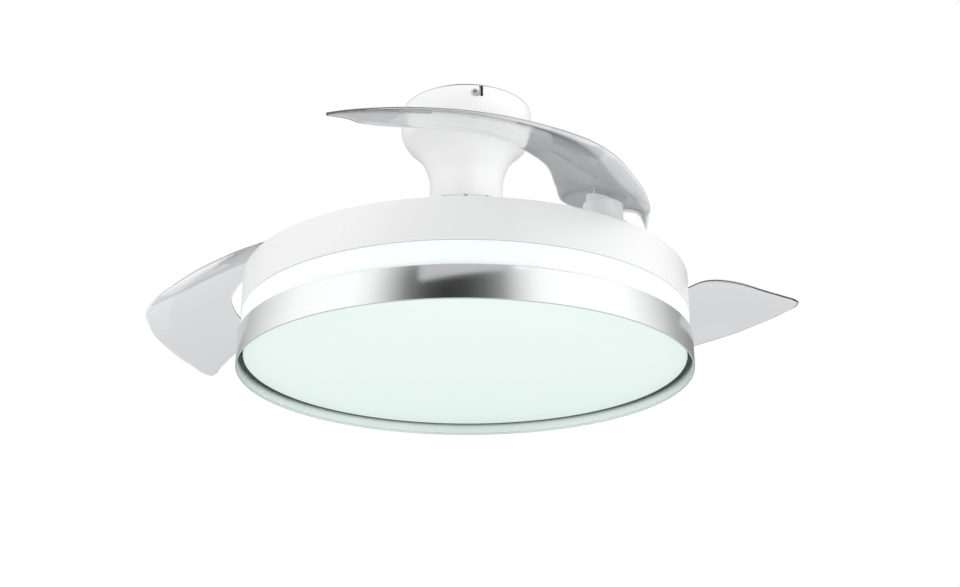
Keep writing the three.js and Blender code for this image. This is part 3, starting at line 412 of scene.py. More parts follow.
def lamp_top_pan():
    """Outline of a pressed sheet: a raised middle, a soft step and a rim that turns down."""
    rim, top = PAN_HIGH.x, PAN_HIGH.z
    skin, low = top - PAN_THICK, top - PAN_STEP
    step, step_foot = PAN_STEP_RADIUS, PAN_STEP_RADIUS + PAN_STEP
    profile = rounded(
        [
            (TUBE_BORE, skin), (step, skin), (step_foot, low - PAN_THICK), (rim - PAN_THICK, low - PAN_THICK),
            (rim - PAN_THICK, low - PAN_RIM_DEPTH), (rim, low - PAN_RIM_DEPTH), (rim, low),
            (step_foot + PAN_STEP_OFFSET, low), (step + PAN_STEP_OFFSET, top), (TUBE_BORE, top),
        ],
        [0.2, 2.0, 2.0, 0.8, 0.3, 0.3, 1.8, 2.0, 2.0, 0.4],
    )
    return smooth(turned("pressed_pan", profile, LAMP_SEGMENTS))


def diffuser():
    """Outline of a flat dish with a rounded lower edge and a flange that lies in the metal ring."""
    flange = DIFFUSER_HIGH.x
    r, inside = flange - DIFFUSER_FLANGE, flange - DIFFUSER_FLANGE - DIFFUSER_WALL
    foot, top = DIFFUSER_LOW.z, DIFFUSER_HIGH.z
    profile = rounded(
        [
            (0, foot), (r - DIFFUSER_CHAMFER, foot), (r, foot + DIFFUSER_CHAMFER), (r, top - DIFFUSER_WALL),
            (flange, top - DIFFUSER_WALL), (flange, top), (inside, top), (inside, foot + DIFFUSER_WALL),
            (0, foot + DIFFUSER_WALL),
        ],
        [0, 1.5, 1.5, 0.5, 0.4, 0.6, 0.8, 1.5, 0],
    )
    return smooth(turned("opal_diffuser", profile, LAMP_SEGMENTS))


# ---------------------------------------------------------------- canopy, plate and motor

def canopy_side(inset, count=64):
    """The bell's curve from the end of the upright rim to the neck, moved in by the inset."""
    start = np.array([CANOPY_HIGH.x - inset, CANOPY_HIGH.z - CANOPY_RIM_HEIGHT])
    return catmull(start - CANOPY_CURVE, count)


def canopy():
    """Outline of the bell: the outer curve down, the neck's edge, and the inner curve back up, with two
    L-shaped bayonet slots cut through the rim."""
    r, top, foot = CANOPY_HIGH.x, CANOPY_HIGH.z, CANOPY_LOW.z
    inner = canopy_side(CANOPY_WALL)[::-1]
    bell = turned("bell_canopy", np.concatenate([
        (r, top) + SOFT_EDGE, canopy_side(0), (CANOPY_NECK, foot) + CANOPY_NECK_EDGE,
        [(CANOPY_NECK - CANOPY_WALL, foot + GAP)], inner, [(r - CANOPY_WALL, top)],
    ]), 192)
    w, far = SLOT_WIDTH / 2, -SLOT_TURN * r - SCREW_RADIUS - GAP
    leg, mouth = SCREW_DROP - SCREW_RADIUS - GAP, -5 * MM
    outline = rounded(
        [(w, mouth), (w, SLOT_DEPTH), (far, SLOT_DEPTH), (far, leg), (-w, leg), (-w, mouth)],
        [0, 1.5, 2.4, 2.4, 1.0, 0], 8,
    )
    cutters = [
        placed(prism("slot", outline[::-1], r - CUT_REACH, r + CUT_REACH), turn_z(angle) @ standing(0, top, -1))
        for angle in (SLOT_ANGLE, SLOT_ANGLE + math.pi)
    ]
    return smooth(carved(bell, cutters))


def canopy_screw_place(side, distance):
    """Lays a piece outwards in a canopy screw's line, this far from the axis."""
    height = CANOPY_HIGH.z - SCREW_DROP
    lying = Matrix.Translation((distance, 0, height)) @ Matrix.Rotation(math.pi / 2, 4, "Y")
    return turn_z(SLOT_ANGLE - SLOT_TURN + side * math.pi) @ lying


def ceiling_plate():
    """A round plate with a middle hole, four oblong screw slots and two tabs bent down for the canopy."""
    r, foot, top = PLATE_HIGH.x, PLATE_HIGH.z - PLATE_THICK, PLATE_HIGH.z
    disc = turned("mounting_plate", rounded(
        [(PLATE_OPENING, foot), (r, foot), (r, top), (PLATE_OPENING, top)], [0.35] * 4, 4,
    ), 192)
    tab_out = CANOPY_HIGH.x - CANOPY_WALL - GAP - PLATE_THICK
    half = TAB_WIDTH / 2
    outline = rounded([(-half, TAB_ROOT), (-half, -TAB_DROP), (half, -TAB_DROP), (half, TAB_ROOT)], [0, 3, 3, 0])
    tabs, cutters = [], []
    for side in (0, 1):
        place = turn_z(SLOT_ANGLE - SLOT_TURN + side * math.pi) @ standing(tab_out - PLATE_THICK, foot)
        tabs.append(placed(prism("tab", outline, 0, PLATE_THICK, 0.2 * MM), place))
        cutters.append(drill(TAB_HOLE, -CUT_REACH, CUT_REACH, canopy_screw_place(side, tab_out)))
    for place in circle_places(4, PLATE_SLOT_CIRCLE, math.pi / 4):
        outline = oblong(PLATE_SLOT_LENGTH, PLATE_SLOT_WIDTH)
        cutters.append(placed(prism("slot", outline, foot - CUT_REACH, top + CUT_REACH), place))
    return smooth(carved(carved(disc, tabs, "UNION"), cutters), 30)


def shell_profile(opening, closed):
    """One half of the motor's shell: wall, quarter-round shoulder, flat with a mouth, and bearing seat."""
    up = math.copysign(1, closed - opening)
    skin = closed - up * MOTOR_WALL
    seat_edge = skin - up * BEARING_SEAT_DEPTH
    seat_out = BEARING_SEAT + BEARING_SEAT_WALL
    angle = np.linspace(0, math.pi / 2, 14)[:, None]
    centre = np.array([MOTOR_RADIUS - MOTOR_SHOULDER, closed - up * MOTOR_SHOULDER])
    round_off = np.concatenate([np.cos(angle), up * np.sin(angle)], axis=1)
    return np.concatenate([
        [(MOTOR_RADIUS - MOTOR_WALL, opening), (MOTOR_RADIUS - MOTOR_EDGE, opening)],
        [(MOTOR_RADIUS, opening + up * MOTOR_EDGE)],
        centre + round_off * MOTOR_SHOULDER,
        [(MOTOR_MOUTH, closed), (MOTOR_MOUTH, skin), (BEARING_SEAT, skin), (BEARING_SEAT, seat_edge)],
        [(seat_out, seat_edge), (seat_out, skin)],
        (centre + round_off * (MOTOR_SHOULDER - MOTOR_WALL))[::-1],
    ])


def motor_cap():
    """The upper half of the shell, with a ring of oblong vents through its shoulder."""
    cap = turned("motor_cap", shell_profile(MOTOR_SPLIT, MOTOR_TOP), 160)
    outline = oblong(VENT_LENGTH, VENT_WIDTH)
    vents = [
        placed(prism("vent", outline, MOTOR_TOP - MOTOR_SHOULDER, MOTOR_TOP + CUT_REACH), place)
        for place in circle_places(VENTS, VENT_CIRCLE, math.pi / VENTS)
    ]
    return smooth(carved(cap, vents), 30)


def motor_base():
    """The lower half of the shell, with three screw holes."""
    base = turned("motor_base", shell_profile(MOTOR_BASE_TOP, MOTOR_FOOT), 160)
    places = circle_places(3, CARRIER_SCREW_CIRCLE, height=MOTOR_FOOT)
    return smooth(carved(base, [drill(MOTOR_SCREW_HOLE, -CUT_REACH, CUT_REACH, place) for place in places]), 30)


# ---------------------------------------------------------------- hinges, carrier and blades

def hinge(number):
    """Two matrices from the joint: the leaning pin with x outwards, and the same turned to the blade's rest."""
    joint = next(j for j in frame["joints"] if j["name"] == f"blade_{number}_fold")
    x, y, z = joint["pos_m"]
    lean = math.acos(joint["axis"][2])
    opening = math.radians(CLOSED_STOP - joint["range_deg"][0])
    pin = Matrix.Translation((x, y, z)) @ turn_z(math.atan2(y, x)) @ Matrix.Rotation(lean, 4, "Y")
    return pin, pin @ turn_z(opening)


def arc(radius, start, end, steps):
    """Points on a circle from one angle to another."""
    angle = np.linspace(start, end, steps)
    return radius * np.stack([np.cos(angle), np.sin(angle)], axis=1)


def stop_block(start, end, outer, inner, top):
    """Part of a ring between two angles, in degrees, raised from just under the pad's face."""
    sector = arc(1, math.radians(start), math.radians(end), 24)
    return prism("stop", np.concatenate([sector * outer, sector[::-1] * inner]), -1 * MM, top)


def carrier():
    """Outline: three arcs of the disc, each followed by an ear's half circle, which straight flanks join to
    the disc. The edges are rounded, and the pads, stops and holes are added and cut."""
    pivots = [hinge(number)[0] for number in (1, 2, 3)]
    azimuths = [math.atan2(pin.translation.y, pin.translation.x) for pin in pivots]
    circle = math.hypot(*pivots[0].translation.xy)
    flank = math.asin(EAR_RADIUS / CARRIER_RADIUS)
    parts = []
    for azimuth in azimuths:
        ear = arc(EAR_RADIUS, azimuth - math.pi / 2, azimuth + math.pi / 2, 40)
        parts.append(arc(circle, azimuth, azimuth, 1) + ear)
        parts.append(arc(CARRIER_RADIUS, azimuth + flank, azimuth + 2 * math.pi / 3 - flank, 70))
    plate = prism("blade_carrier_plate", np.concatenate(parts), CARRIER_FOOT, CARRIER_TOP, 0.8 * MM)
    low, high = CARRIER_FOOT - 2 * CUT_REACH, CARRIER_TOP + 2 * CUT_REACH
    pad_foot = -PAD_HEIGHT - CARRIER_THICK / 2
    pad_profile = np.concatenate([
        [(0, pad_foot), (PAD_RADIUS, pad_foot)], (PAD_RADIUS, 0) + SOFT_EDGE[::-1], [(0, 0)],
    ])
    added, removed = [], []
    for pin in pivots:
        stop = stop_block(
            180 - STOP_HALF, 180 + STOP_HALF, HUB_RADIUS - GAP, HUB_RADIUS - HUB_WALL + GAP, STOP_HEIGHT,
        )
        added += [placed(turned("pad", pad_profile), pin), placed(stop, pin)]
        removed.append(drill(PIN_BORE, -3 * CARRIER_THICK, 2 * CARRIER_THICK, pin, 48))
    removed.append(drill(CARRIER_BORE, low, high, Matrix(), 72))
    for radius, distance, start in (
        (CARRIER_WINDOW, CARRIER_WINDOW_CIRCLE, azimuths[0] + math.pi / 3),
        (CARRIER_SCREW_HOLE, CARRIER_SCREW_CIRCLE, 0),
    ):
        places = circle_places(3, distance, start)
        removed += [drill(radius, low, high, Matrix.Translation(place.translation), 72) for place in places]
    removed.append(drill(2 * CARRIER_RADIUS, low, CARRIER_FOOT, Matrix(), 24))
    return smooth(carved(carved(plate, added, "UNION"), removed), 30)


def blade_height(x, y):
    """Height over the pad in millimetres: a slanted plane, arched along and across and twisted."""
    plane = BLADE_SLOPES[0] * x + BLADE_SLOPES[1] * y
    return BLADE_RISE + plane + BLADE_BENDS[0] * x * x + BLADE_BENDS[1] * x * y + BLADE_BENDS[2] * y * y


def blade_screw_holes(foot):
    """Cutters for the two screws of a blade, in its hub's frame."""
    return [
        drill(BLADE_SCREW_HOLE, foot, BLADE_SCREW_REACH, Matrix.Translation((0, y * MM, 0)))
        for y in (-BLADE_SCREW_CIRCLE, BLADE_SCREW_CIRCLE)
    ]


def blade(number, sections=168, ring=112, samples=4000):
    """Each cross-section runs from the outer edge's curve to the inner edge's. Round its outline, a = (1 -
    cos t) / 2 is the share across, the middle bulges by 4 a (1 - a), and the half thickness follows a
    circle at both edges. The sections stand closer together towards the root and the tip."""
    along = 0.5 - 0.5 * np.cos(math.pi * np.linspace(0.06, 0.94, sections))
    along = (along - along[0]) / (along[-1] - along[0])
    fine = np.linspace(0, 1, samples)
    outer, inner = (
        np.stack([np.interp(along, fine, way) for way in catmull(edge.astype(float), samples).T], axis=1)
        for edge in (BLADE_OUTER, BLADE_INNER)
    )
    chord = np.linalg.norm(inner - outer, axis=1)[:, None]
    turn = np.arange(ring) * 2 * math.pi / ring
    across = ((1 - np.cos(turn)) / 2)[None]
    side = np.sign(np.sin(turn) + 1e-12)[None]
    bulge = 4 * across * (1 - across)
    thick = BLADE_EDGE + (BLADE_THICK - BLADE_EDGE) * np.sqrt(bulge)
    distance = np.minimum(across, 1 - across) * chord
    edge = np.clip(distance / (BLADE_EDGE / 2), 0, 1)
    half = thick / 2 * np.sqrt(1 - (1 - edge) ** 2)
    flat = outer[:, None] + (inner - outer)[:, None] * across[..., None]
    middle = blade_height(flat[..., 0], flat[..., 1]) + BLADE_CAMBER * bulge * np.minimum(1, chord / FULL_CHORD)
    height = middle + side * half
    points = np.concatenate([flat, height[..., None]], axis=2) * MM
    uv = np.stack(np.broadcast_arrays(along[:, None], across), axis=-1)
    piece = tidied(grid_piece(f"clear_blade_{number}", points, uv=uv))
    return smooth(placed(carved(piece, blade_screw_holes(0)), hinge(number)[1]), 40)


def blade_hub(number):
    """A cup turned round the pin whose top is a collar cut on the slant, z = underside of the blade, with a
    notch that runs against the carrier's stop."""
    inside = HUB_RADIUS - HUB_WALL
    deck, collar = HUB_HEIGHT - HUB_WALL, HUB_HEIGHT + HUB_COLLAR
    profile = rounded(
        [
            (PIN_BORE, deck), (inside, deck), (inside, GAP), (HUB_RADIUS, GAP), (HUB_RADIUS, HUB_HEIGHT),
            (HUB_SEAT, HUB_HEIGHT), (HUB_SEAT, collar), (PIN_WELL, collar), (PIN_WELL, HUB_HEIGHT),
            (PIN_BORE, HUB_HEIGHT),
        ],
        [0.2, 1.5, 0.5, 0.5, 1.8, 0.8, 0.5, 0.3, 0.3, 0.2],
    )
    cup = turned(f"hub_cup_{number}", profile, 128)
    span = np.linspace(-HUB_CUT, HUB_CUT, 40)
    x, y = np.meshgrid(span, span, indexing="ij")
    under = np.stack([x, y, blade_height(x, y) - BLADE_THICK / 2 - GAP / MM], axis=-1)
    over = np.stack([x, y, np.full_like(x, HUB_CUT_TOP)], axis=-1)
    above = tidied(grid_piece("above", np.concatenate([under, over[:, ::-1]], axis=1) * MM))
    notch = stop_block(
        180 - OPEN_STOP - STOP_HALF - 1, 180 - CLOSED_STOP + STOP_HALF + 1,
        HUB_RADIUS + 2 * MM, inside - 2 * MM, STOP_HEIGHT + 2 * GAP,
    )
    cutters = [above, notch, *blade_screw_holes(deck - 2 * MM)]
    return smooth(placed(carved(cup, cutters), hinge(number)[1]), 32)


def hinge_pin(number):
    """A turned pin with a domed head, its lower end chamfered."""
    foot = GAP - PAD_HEIGHT - CARRIER_THICK + PIN_RISE
    chamfer = 0.5 * MM
    head = HUB_HEIGHT + GAP
    profile = rounded(
        [
            (0, foot), (PIN_RADIUS - chamfer, foot), (PIN_RADIUS, foot + chamfer), (PIN_RADIUS, head),
            (PIN_HEAD, head), (PIN_HEAD, head + PIN_HEAD_HEIGHT), (0, head + PIN_HEAD_HEIGHT),
        ],
        [0, 0.2, 0.2, 0.2, 0.4, 1.2, 0],
    )
    return smooth(placed(turned(f"hinge_pin_body_{number}", profile, 64), hinge(number)[0]))


def coil_spring(number, turns=3, steps=64, sides=16):
    """A round wire whose middle line climbs a screw line: angle and height both grow with the share s."""
    share = np.linspace(0, 1, turns * steps + 1)
    angle = (share * turns * 2 * math.pi)[:, None]
    foot, top = GAP + SPRING_WIRE, HUB_HEIGHT - HUB_WALL - GAP - SPRING_WIRE
    section = (np.arange(sides) * 2 * math.pi / sides)[None]
    radius = SPRING_RADIUS + SPRING_WIRE * np.cos(section)
    height = (foot + share * (top - foot))[:, None] + SPRING_WIRE * np.sin(section)
    points = np.stack([radius * np.cos(angle), radius * np.sin(angle), height], axis=-1)
    piece = tidied(grid_piece(f"coil_spring_{number}", points))
    return smooth(placed(piece, hinge(number)[0]), 50)


def pan_head_screw(name, radius, head, head_height, length):
    """A shank under a domed head with a cross recess, its parts in shares of the head's and shank's sizes.
    The head's underside lies at the origin."""
    dome = np.linspace(0, math.pi / 2, 8)[::-1]
    cap = np.stack([head * (0.55 + 0.45 * np.sin(dome)), head_height * (0.1 + 0.9 * np.cos(dome))], axis=1)
    profile = np.concatenate([
        [(0, -length), (radius * 0.7, -length), (radius, -length + radius * 0.5), (radius, 0), (head, 0)],
        cap,
        [(0, head_height)],
    ])
    body = turned(name, profile, 48)
    arms = []
    for turn in (0, math.pi / 2):
        slot = prism("recess", oblong(head * 1.15, head * 0.26, 6), head_height * 0.35, head_height * 2)
        arms.append(placed(slot, turn_z(turn + 0.5)))
    return smooth(carved(body, arms), 30)


# ---------------------------------------------------------------- finishes

def add(tree, kind, inputs=None, **settings):
    """A node with its settings. Each input, by name or number, is a value or the socket that feeds it."""
    made = tree.nodes.new(kind)
    for key, value in settings.items():
        setattr(made, key, value)
    for key, value in (inputs or {}).items():
        if isinstance(value, bpy.types.NodeSocket):
            tree.links.new(value, made.inputs[key])
        else:
            made.inputs[key].default_value = value
    return made


def maths(tree, how, *terms):
    return add(tree, "ShaderNodeMath", dict(enumerate(terms)), operation=how).outputs[0]


def mixed(tree, share, first, second):
    """From the first colour at share 0 to the second at share 1."""
    return add(tree, "ShaderNodeMix", {"Factor": share, 6: first, 7: second}, data_type="RGBA").outputs[2]


def ranged(tree, value, low, high, to_low=0.0, to_high=1.0, how="SMOOTHSTEP"):
    """Takes low and high to two other numbers, and what lies between them likewise."""
    ends = {"Value": value, "From Min": low, "From Max": high, "To Min": to_low, "To Max": to_high}
    return add(tree, "ShaderNodeMapRange", ends, interpolation_type=how).outputs[0]


def noise(tree, place, scale, detail):
    return add(tree, "ShaderNodeTexNoise", {"Vector": place, "Scale": scale, "Detail": detail}).outputs["Fac"]


def from_axis(tree, place):
    """A place's x, y and z, and its distance from the Z axis."""
    x, y, z = add(tree, "ShaderNodeSeparateXYZ", {0: place}).outputs
    flat = add(tree, "ShaderNodeCombineXYZ", {0: x, 1: y}).outputs[0]
    return x, y, z, add(tree, "ShaderNodeVectorMath", {0: flat}, operation="LENGTH").outputs["Value"]


def group(name, inputs, outputs):
    """A node group with only its sockets: an input with no value is a place, one with four numbers a colour."""
    tree = bpy.data.node_groups.new(name, "ShaderNodeTree")
    for socket, value in inputs.items():
        kind = "Vector" if value is None else "Color" if isinstance(value, tuple) else "Float"
        made = tree.interface.new_socket(socket, in_out="INPUT", socket_type=f"NodeSocket{kind}")
        if value is not None:
            made.default_value = value
    for socket in outputs:
        kind = "Color" if socket in ("Colour", "Glow") else "Float"
        tree.interface.new_socket(socket, in_out="OUTPUT", socket_type=f"NodeSocket{kind}")
    return tree, add(tree, "NodeGroupInput").outputs, add(tree, "NodeGroupOutput")


def joined(tree, node, **sources):
    """The tree, with the sources linked to the node's inputs of the same names."""
    for name, source in sources.items():
        tree.links.new(source, node.inputs[name])
    return tree


def moulded_skin():
    """Moulded or sprayed skin: a fine pebble for the bump, and broad patches that vary colour and gloss."""
    tree, given, out = group(
        "moulded_skin",
        {"Place": None, "Colour": (0.8, 0.8, 0.8, 1), "Shade": (0.7, 0.7, 0.7, 1), "Grain": 900.0,
         "Roughness": 0.35, "Spread": 0.08},
        ("Colour", "Roughness", "Height"),
    )
    broad = noise(tree, given["Place"], 14.0, 3.0)
    patches = ranged(tree, broad, 0.2, 0.8, how="LINEAR")
    centred = maths(tree, "SUBTRACT", broad, 0.5)
    return joined(
        tree, out,
        Colour=mixed(tree, patches, given["Colour"], given["Shade"]),
        Roughness=maths(tree, "MULTIPLY_ADD", centred, given["Spread"], given["Roughness"]),
        Height=noise(tree, given["Place"], given["Grain"], 2.0),
    )


def turned_brushing():
    """Fine lines round the Z axis: noise over (angle, radius, height), drawn out along the angle."""
    tree, given, out = group(
        "turned_brushing",
        {"Place": None, "Colour": (0.7, 0.7, 0.7, 1), "Shade": (0.6, 0.6, 0.6, 1), "Lines": 2500.0,
         "Roughness": 0.25, "Spread": 0.1},
        ("Colour", "Roughness", "Height"),
    )
    x, y, z, radius = from_axis(tree, given["Place"])
    drawn_out = add(tree, "ShaderNodeCombineXYZ", {
        0: maths(tree, "ARCTAN2", y, x),
        1: maths(tree, "MULTIPLY", radius, given["Lines"]),
        2: maths(tree, "MULTIPLY", z, given["Lines"]),
    }).outputs[0]
    lines = noise(tree, drawn_out, 1.6, 3.0)
    both = maths(tree, "MULTIPLY", lines, noise(tree, given["Place"], 9.0, 2.0))
    return joined(
        tree, out,
        Colour=mixed(tree, lines, given["Colour"], given["Shade"]),
        Roughness=maths(tree, "MULTIPLY_ADD", both, given["Spread"], given["Roughness"]),
        Height=lines,
    )


def lip_zones():
    """Zones of the polished ring by radius and height: inside the wall it is paler and duller, and beside the
    diffuser's edge and under the lip it is darkened with painted shade."""
    tree, given, out = group(
        "lip_zones",
        {"Place": None, "Colour": (0.8, 0.8, 0.8, 1), "Roughness": 0.2, "Inside": (0.97, 0.98, 0.975, 1),
         "Inside roughness": 0.38, "Painted shade": (0.47, 0.52, 0.5, 1), "Wall radius": 0.25, "Face height": 0.0,
         "Foot height": 0.0},
        ("Colour", "Roughness"),
    )
    _, _, z, radius = from_axis(tree, given["Place"])
    inside = maths(tree, "LESS_THAN", radius, given["Wall radius"])
    over = maths(tree, "GREATER_THAN", z, given["Face height"])
    under = maths(tree, "LESS_THAN", z, given["Foot height"])
    # Painted shade: the mask covers the inner wall beside the diffuser's edge and the underside of the lip.
    dark = maths(tree, "MULTIPLY_ADD", inside, over, under)
    pale = mixed(tree, inside, given["Colour"], given["Inside"])
    rough = add(
        tree, "ShaderNodeMix", {"Factor": inside, 2: given["Roughness"], 3: given["Inside roughness"]},
        data_type="FLOAT",
    )
    return joined(tree, out, Colour=mixed(tree, dark, pale, given["Painted shade"]), Roughness=rough.outputs[0])


def lit_opal():
    """Light behind opal plastic, with soft spots; its change from the near colour at the front to the far colour
    at the back, by Y, is painted shade. Past the rim radius the plastic is painted dark as shade."""
    tree, given, out = group(
        "lit_opal",
        {"Place": None, "Near": (1, 1, 1, 1), "Far": (0.9, 1, 0.97, 1), "Reach": 0.25, "Rim": 9.0,
         "Edge": (0.3, 0.35, 0.335, 1)},
        ("Glow", "Roughness", "Height"),
    )
    _, y, _, radius = from_axis(tree, given["Place"])
    back = maths(tree, "SUBTRACT", 0.0, given["Reach"])
    along = ranged(tree, y, back, given["Reach"], how="LINEAR")
    spotted = maths(tree, "MULTIPLY_ADD", noise(tree, given["Place"], 7.0, 1.0), 0.12, along)
    # Painted shade: the glow darkens from the near colour in front to the far colour at the back.
    lit = mixed(tree, spotted, given["Near"], given["Far"])
    # Painted shade: past the rim radius, on the flange in the metal ring, the plastic is dark.
    outside = maths(tree, "GREATER_THAN", radius, given["Rim"])
    fine = noise(tree, given["Place"], 1400.0, 2.0)
    return joined(
        tree, out,
        Glow=mixed(tree, outside, lit, given["Edge"]),
        Roughness=ranged(tree, fine, 0.0, 1.0, 0.36, 0.5, "LINEAR"),
        Height=fine,
    )


def blade_tint():
    """Clear plastic along and across a blade, by its UV map: along the outer edge's root half a margin that is
    darker, carries painted light and flares at the root, and a thin line of painted light in both edges."""
    tree, given, out = group(
        "blade_tint",
        {"UV": None, "Body": (0.98, 0.98, 0.98, 1), "Margin": (0.5, 0.5, 0.5, 1),
         "Margin painted light": (0.3, 0.3, 0.3, 1), "Edge painted light": (0.06, 0.06, 0.06, 1)},
        ("Colour", "Glow", "Roughness", "Height"),
    )
    along, across, _ = add(tree, "ShaderNodeSeparateXYZ", {0: given["UV"]}).outputs
    # The margin along the outer edge's root half: darker, and painted with light.
    root_half = ranged(tree, along, 0.56, 0.72, 1.0, 0.0)
    flare = ranged(tree, along, 0.0, 0.14, 0.3, 0.0)
    outer = ranged(tree, maths(tree, "SUBTRACT", across, flare), 0.2, 0.27, 1.0, 0.0)
    margin = maths(tree, "MULTIPLY", outer, root_half)
    from_middle = maths(tree, "ABSOLUTE", maths(tree, "SUBTRACT", across, 0.5))
    # Painted light: a thin line of light in both edges.
    edges = mixed(tree, ranged(tree, from_middle, 0.47, 0.495), (0, 0, 0, 1), given["Edge painted light"])
    haze = noise(tree, given["UV"], 30.0, 4.0)
    return joined(
        tree, out,
        Colour=mixed(tree, margin, given["Body"], given["Margin"]),
        Glow=mixed(tree, margin, edges, given["Margin painted light"]),
        Roughness=ranged(tree, haze, 0.0, 1.0, 0.02, 0.07, "LINEAR"),
        Height=noise(tree, given["UV"], 4.0, 1.0),
    )


SKIN, BRUSHING, LIP_ZONES, OPAL, TINT = moulded_skin(), turned_brushing(), lip_zones(), lit_opal(), blade_tint()


def emptied(owner):
    """The node tree of a material or world, with no nodes in it."""
    owner.use_nodes = True
    owner.node_tree.nodes.clear()
    return owner.node_tree


def finish(name, effect, given, bump, zones=None, **shader):
    """A Principled material. The effect group gives colour, roughness and bump height, zones change the first
    two by radius and height with painted shade, and the shader's other values are set on its sockets."""
    material = bpy.data.materials.new(name)
    tree = emptied(material)
    out = add(tree, "ShaderNodeOutputMaterial")
    lit = add(tree, "ShaderNodeBsdfPrincipled", {key.replace("_", " "): value for key, value in shader.items()})
    place = add(tree, "ShaderNodeTexCoord").outputs
    values = {key: (*value, 1) if isinstance(value, tuple) else value for key, value in given.items()}
    values[0] = place["UV" if effect is TINT else "Object"]
    pattern = add(tree, "ShaderNodeGroup", values, node_tree=effect).outputs
    base, rough = pattern["Glow" if effect is OPAL else "Colour"], pattern["Roughness"]
    if zones:
        values = {**zones, "Place": place["Object"], "Colour": base, "Roughness": rough}
        base, rough = add(tree, "ShaderNodeGroup", values, node_tree=LIP_ZONES).outputs
    # For the opal the glow is the lamp's light; for the clear blades it is painted light.
    if "Glow" in pattern:
        tree.links.new(pattern["Glow"], lit.inputs["Emission Color"])
    strength, distance = bump
    relief = add(tree, "ShaderNodeBump", {"Strength": strength, "Distance": distance, "Height": pattern["Height"]})
    joined(tree, lit, **{"Base Color": base, "Roughness": rough, "Normal": relief.outputs[0]})
    joined(tree, out, Surface=lit.outputs[0])
    return material


WHITE_PLASTIC = finish(
    "gloss_white_plastic", SKIN,
    {"Colour": (0.835, 0.84, 0.836), "Shade": (0.828, 0.833, 0.829), "Grain": 420.0, "Roughness": 0.28,
     "Spread": 0.04},
    (0.08, 0.0004), Coat_Weight=0.25, Coat_Roughness=0.12,
)
CANOPY_PLASTIC = finish(
    "moulded_canopy_plastic", SKIN,
    {"Colour": (0.872, 0.872, 0.875), "Shade": (0.866, 0.866, 0.869), "Grain": 520.0, "Roughness": 0.34,
     "Spread": 0.04},
    (0.08, 0.0004), Coat_Weight=0.15, Coat_Roughness=0.2,
)
CARRIER_PLASTIC = finish(
    "satin_white_plastic", SKIN,
    {"Colour": (0.8, 0.805, 0.8), "Shade": (0.76, 0.765, 0.76), "Grain": 700.0, "Roughness": 0.42,
     "Spread": 0.12},
    (0.15, 0.0004),
)
WHITE_METAL = finish(
    "powder_coated_steel", SKIN,
    {"Colour": (0.78, 0.785, 0.785), "Shade": (0.74, 0.745, 0.75), "Grain": 1600.0, "Roughness": 0.38,
     "Spread": 0.1},
    (0.3, 0.0003),
)
# Painted shade: the motor shell is darker than the white metal, for the shade it sits in under the canopy and
# blades.
MOTOR_PAINTED_SHADE = finish(
    "motor_shell_painted_shade", SKIN,
    {"Colour": (0.62, 0.622, 0.628), "Shade": (0.6, 0.602, 0.608), "Grain": 1600.0, "Roughness": 0.38,
     "Spread": 0.1},
    (0.3, 0.0003),
)
# The diffuser glows as the lamp; darker towards the back as painted shade, with its flange painted dark.
DIFFUSER_OPAL = finish(
    "lit_opal_sheet", OPAL,
    {"Near": (0.74, 0.83, 0.80), "Far": (0.66, 0.77, 0.73), "Reach": 0.243,
     "Rim": DIFFUSER_HIGH.x - DIFFUSER_FLANGE - GAP},
    (0.1, 0.0003), Emission_Strength=0.15,
)
BAND_OPAL = finish(
    "lit_opal_band", OPAL, {"Near": (0.88, 0.94, 0.925), "Far": (0.88, 0.94, 0.925), "Reach": 0.25},
    (0.1, 0.0003), Emission_Strength=0.12,
)
SILVER = finish(
    "polished_aluminium", BRUSHING,
    {"Colour": (0.82, 0.83, 0.83), "Shade": (0.7, 0.71, 0.71), "Lines": 3200.0, "Roughness": 0.1,
     "Spread": 0.14},
    (0.12, 0.0001), Metallic=1.0,
    # Painted shade on the ring's inner wall beside the diffuser's edge and under its lip.
    zones={"Wall radius": METAL_RADIUS - METAL_WALL / 2, "Face height": DIFFUSER_LOW.z + 0.5 * MM,
           "Foot height": LIP + 0.5 * MM},
)
# Painted light on the clear blades: their margins and edges glow though they are no lamp.
CLEAR = finish(
    "clear_blade_plastic", TINT,
    {"Body": (0.98, 0.982, 0.985), "Margin": (0.55, 0.56, 0.57),
     "Margin painted light": (0.165, 0.165, 0.168), "Edge painted light": (0.06, 0.06, 0.062)},
    (0.05, 0.0008), Transmission_Weight=1.0, IOR=1.3, Emission_Strength=1.0,
)
HUB_PLASTIC = finish(
    "frosted_hub_plastic", SKIN,
    {"Colour": (0.97, 0.972, 0.98), "Shade": (0.95, 0.953, 0.963), "Grain": 500.0, "Roughness": 0.2,
     "Spread": 0.08},
    (0.05, 0.0004), Transmission_Weight=0.15, IOR=1.5, Coat_Weight=0.3, Coat_Roughness=0.15,
)
STEEL = finish(
    "zinc_plated_steel", BRUSHING,
    {"Colour": (0.62, 0.63, 0.65), "Shade": (0.5, 0.5, 0.49), "Lines": 900.0, "Roughness": 0.24, "Spread": 0.3},
    (0.15, 0.0002), Metallic=1.0,
)
ALUMINIUM = finish(
    "rolled_aluminium", BRUSHING,
    {"Colour": (0.8, 0.81, 0.82), "Shade": (0.7, 0.71, 0.72), "Lines": 1400.0, "Roughness": 0.3,
     "Spread": 0.25},
    (0.2, 0.0002), Metallic=1.0,
)
BLACK_PLASTIC = finish(
    "black_moulded_plastic", SKIN,
    {"Colour": (0.03, 0.031, 0.033), "Shade": (0.018, 0.018, 0.02), "Grain": 1200.0, "Roughness": 0.45,
     "Spread": 0.2},
    (0.25, 0.0004),
)
